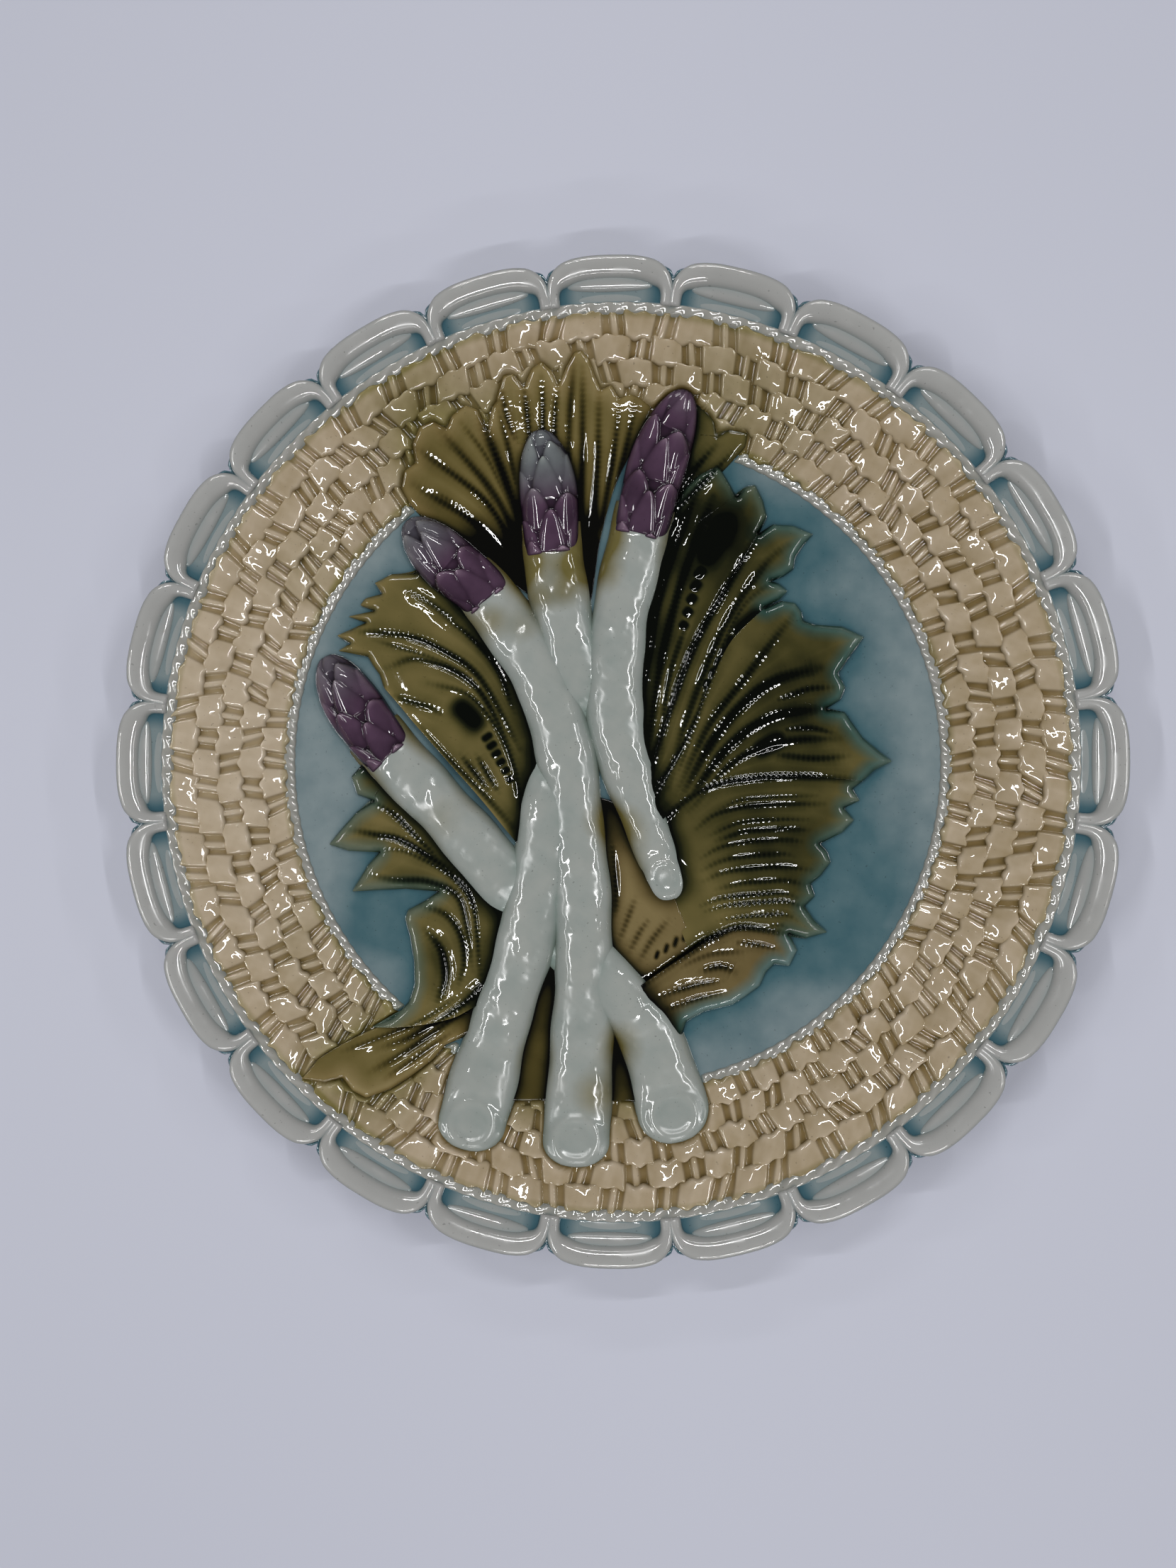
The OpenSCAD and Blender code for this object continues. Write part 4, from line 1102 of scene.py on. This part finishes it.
run_spots = {
    "well_glaze": [
        (62, -28, 13, 0.75), (58, -48, 11, 0.55), (66, 4, 8, 0.3), (57, 46, 12, 0.4), (50, 60, 9, 0.4),
        (-60, -40, 8, 0.9), (-70, 34, 5, 0.2), (32, -66, 10, 0.3), (62, 26, 7, 0.3), (-68, 0, 16, -0.4),
    ],
    "stalk_glaze": [
        (-20.5, 50, 3.5, 0.9), (-10, 49, 3.5, 0.9), (-12, 42, 3, 0.5), (-18, 41, 2.5, 0.5),
        (-1.5, 56, 3.5, 0.9), (-1, 47, 3, 0.6), (-1, -14, 4, 0.6), (-4, -82, 4, 0.6), (2, -70, 4, 0.6),
        (-19, -74, 3, 0.5), (-42, -14, 6, 0.3), (3, -18, 4, 0.6), (5, -27, 3, 0.5), (-30, 36, 3, 0.6),
        (-22, 34, 3, 0.4),
    ],
    "weave_glaze": [
        (-48, 86, 12, 0.6), (-10, 100, 17, 0.05), (30, 92, 12, 0.45), (-60, -74, 12, 0.6),
        (-20, -84, 8, 0.4), (48, 82, 9, 0.3), (-74, 48, 10, 0.35), (-78, -44, 10, 0.3), (84, 20, 9, 0.2),
        (6, -84, 7, 0.4),
    ],
}
pool_and_light_spots = {
    # Painted light: the weave is made lighter over its left side, as a lamp on the left would light it.
    "weave_glaze": [(-96, 0, 40, -0.14)],
    # Darker patches on the leaves, most between the spears and by the slots, are partly gathered glaze and
    # partly painted shade; the negative spots make parts of some leaves lighter.
    "leaf_glaze": [
        (24, 54, 9, 0.4), (28, 60, 6, 0.25), (12, 30, 6, 0.2), (44, 8, 8, 0.25), (48, 24, 7, 0.2),
        (35, -18, 10, 0.2), (46, -26, 8, 0.14), (-34, 56, 3.5, 0.4), (-28, 53, 4, 0.6), (-23, 48, 3.5, 0.7),
        (-20, 43, 3, 0.8), (-22, 60, 3, 0.4), (-5, 60, 2.5, 0.5), (-5.5, 53, 2.5, 0.8), (-6, 45, 2.5, 0.9),
        (-44, -50, 5, 0.2), (0, -64, 4, 0.4), (-50, -30, 5, 0.2), (-45, 28, 16, -0.16),
        (-50, -22, 16, -0.2), (-30, 76, 14, -0.16), (-8, 86, 12, -0.2), (20, -48, 12, -0.1),
        (6, -40, 7, -0.35), (2, -26, 5, -0.3), (24, -30, 7, -0.1), (-60, -72, 12, -0.1),
        (-42, -62, 14, -0.14),
    ],
}


def spotted(points, spots):
    """Sum of soft round spots at points: each is x, y, its reach and its amount."""
    total = np.zeros(len(points))
    for x, y, reach, amount in spots:
        total += amount * np.exp(-((points[:, 0] - x) ** 2 + (points[:, 1] - y) ** 2) / (2 * reach**2))
    return total


def read_values(mesh, attribute):
    """The values that a mesh keeps at its points."""
    values = np.empty(len(mesh.vertices), np.float32)
    mesh.attributes[attribute].data.foreach_get("value", values)
    return values


def write_values(mesh, attribute, values):
    """Put values from 0 to 1 at the points of a mesh."""
    mesh.attributes[attribute].data.foreach_set("value", np.clip(values, 0, 1).astype(np.float32))


for piece in [o for o in bpy.context.scene.objects if "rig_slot" in o]:
    mesh = piece.data
    points = np.empty(len(mesh.vertices) * 3, np.float32)
    mesh.vertices.foreach_get("co", points)
    points = points.reshape(-1, 3).astype(float) / MM
    slot = piece["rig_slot"]
    flat, fine, broad = gather_and_shade[slot]
    own = rise(points)
    # Painted shade and gathered glaze: darker where a point lies below the blurred relief around it.
    pool_shade = flat + fine * (look_up(near, points) - own) + broad * (look_up(wide_round, points) - own)
    pool_shade = pool_shade + read_values(mesh, "pool_shade") + spotted(points, pool_and_light_spots.get(slot, []))
    # Painted shade on the leaves along the edges of the spears, over the glaze gathered there.
    if slot == "leaf_glaze":
        pool_shade = pool_shade + shade_beside_stalks * look_up(stalk_shade_field, points)
    write_values(mesh, "pool_shade", np.where(own < underside, underside_pool, pool_shade))
    close, further = leaf_runs.get(slot, (0.0, 0.0))
    run = read_values(mesh, "run")
    run = run + close * look_up(leaf_near, points) + further * look_up(leaf_far, points)
    run = run + spotted(points, run_spots.get(slot, []))
    write_values(mesh, "run", np.where(own < underside, 0, run))

# The stage: a plain pale table, seen from above by a short lens held over the plate, in the soft light of
# four narrow lamps overhead and of four strips to the sides.
scene = bpy.context.scene
scene.view_settings.view_transform = "Standard"
table_half = 1.5
table = bpy.data.meshes.new("table")
corners = [(x * table_half, y * table_half, 0) for x, y in ((-1, -1), (1, -1), (1, 1), (-1, 1))]
table.from_pydata(corners, [], [(0, 1, 2, 3)])
floor = bpy.data.objects.new("table", table)
scene.collection.objects.link(floor)
table_paint = bpy.data.materials.new("pale_table")
table_paint.use_nodes = True
table_shader = table_paint.node_tree.nodes["Principled BSDF"]
table_shader.inputs["Base Color"].default_value = tone(184, 186, 199)
table_shader.inputs["Roughness"].default_value = 0.6
table.materials.append(table_paint)

world = bpy.data.worlds.new("soft_room")
scene.world = world
world.use_nodes = True
world.node_tree.nodes["Background"].inputs["Color"].default_value = (0.96, 0.97, 1.0, 1.0)
world.node_tree.nodes["Background"].inputs["Strength"].default_value = 0.08


def lamp(name, way, out, high, size, power):
    """A narrow lamp, long side round the plate, out from its middle and above it, turned to it."""
    light = bpy.data.lights.new(name, "AREA")
    light.shape = "RECTANGLE"
    light.size, light.size_y = size
    light.energy = power
    holder = bpy.data.objects.new(name, light)
    scene.collection.objects.link(holder)
    place = np.array([out * np.cos(way), out * np.sin(way), high])
    back = place / np.linalg.norm(place)
    side = np.array([-np.sin(way), np.cos(way), 0.0])
    up = np.cross(back, side)
    turn_to = Matrix([list(v) for v in np.stack([side, up, back], 1)]).to_4x4()
    turn_to.translation = place
    holder.matrix_world = turn_to


overhead = dict(out=0.6, high=1.0, size=(0.45, 0.02), power=2.9)
to_the_sides = dict(out=0.62, high=0.6, size=(0.4, 0.015), power=0.6)
lamps_each = 4
first_way = np.radians(8)
for name, kind in (("ring_lamp", overhead), ("strip_lamp", to_the_sides)):
    for i in range(lamps_each):
        lamp(f"{name}_{i + 1}", first_way + i * 2 * np.pi / lamps_each, **kind)

sensor = 36.0
photo_h = 2212
lens_px = 1661
eye = (12.65 * MM, -5.27 * MM, 302 * MM)
tilt = 0.0635
view = bpy.data.cameras.new("camera")
view.sensor_width = sensor
view.lens = sensor * lens_px / photo_h
camera = bpy.data.objects.new("camera", view)
scene.collection.objects.link(camera)
stand = Matrix.Rotation(tilt, 4, "Y")
stand.translation = eye
camera.matrix_world = stand
scene.camera = camera
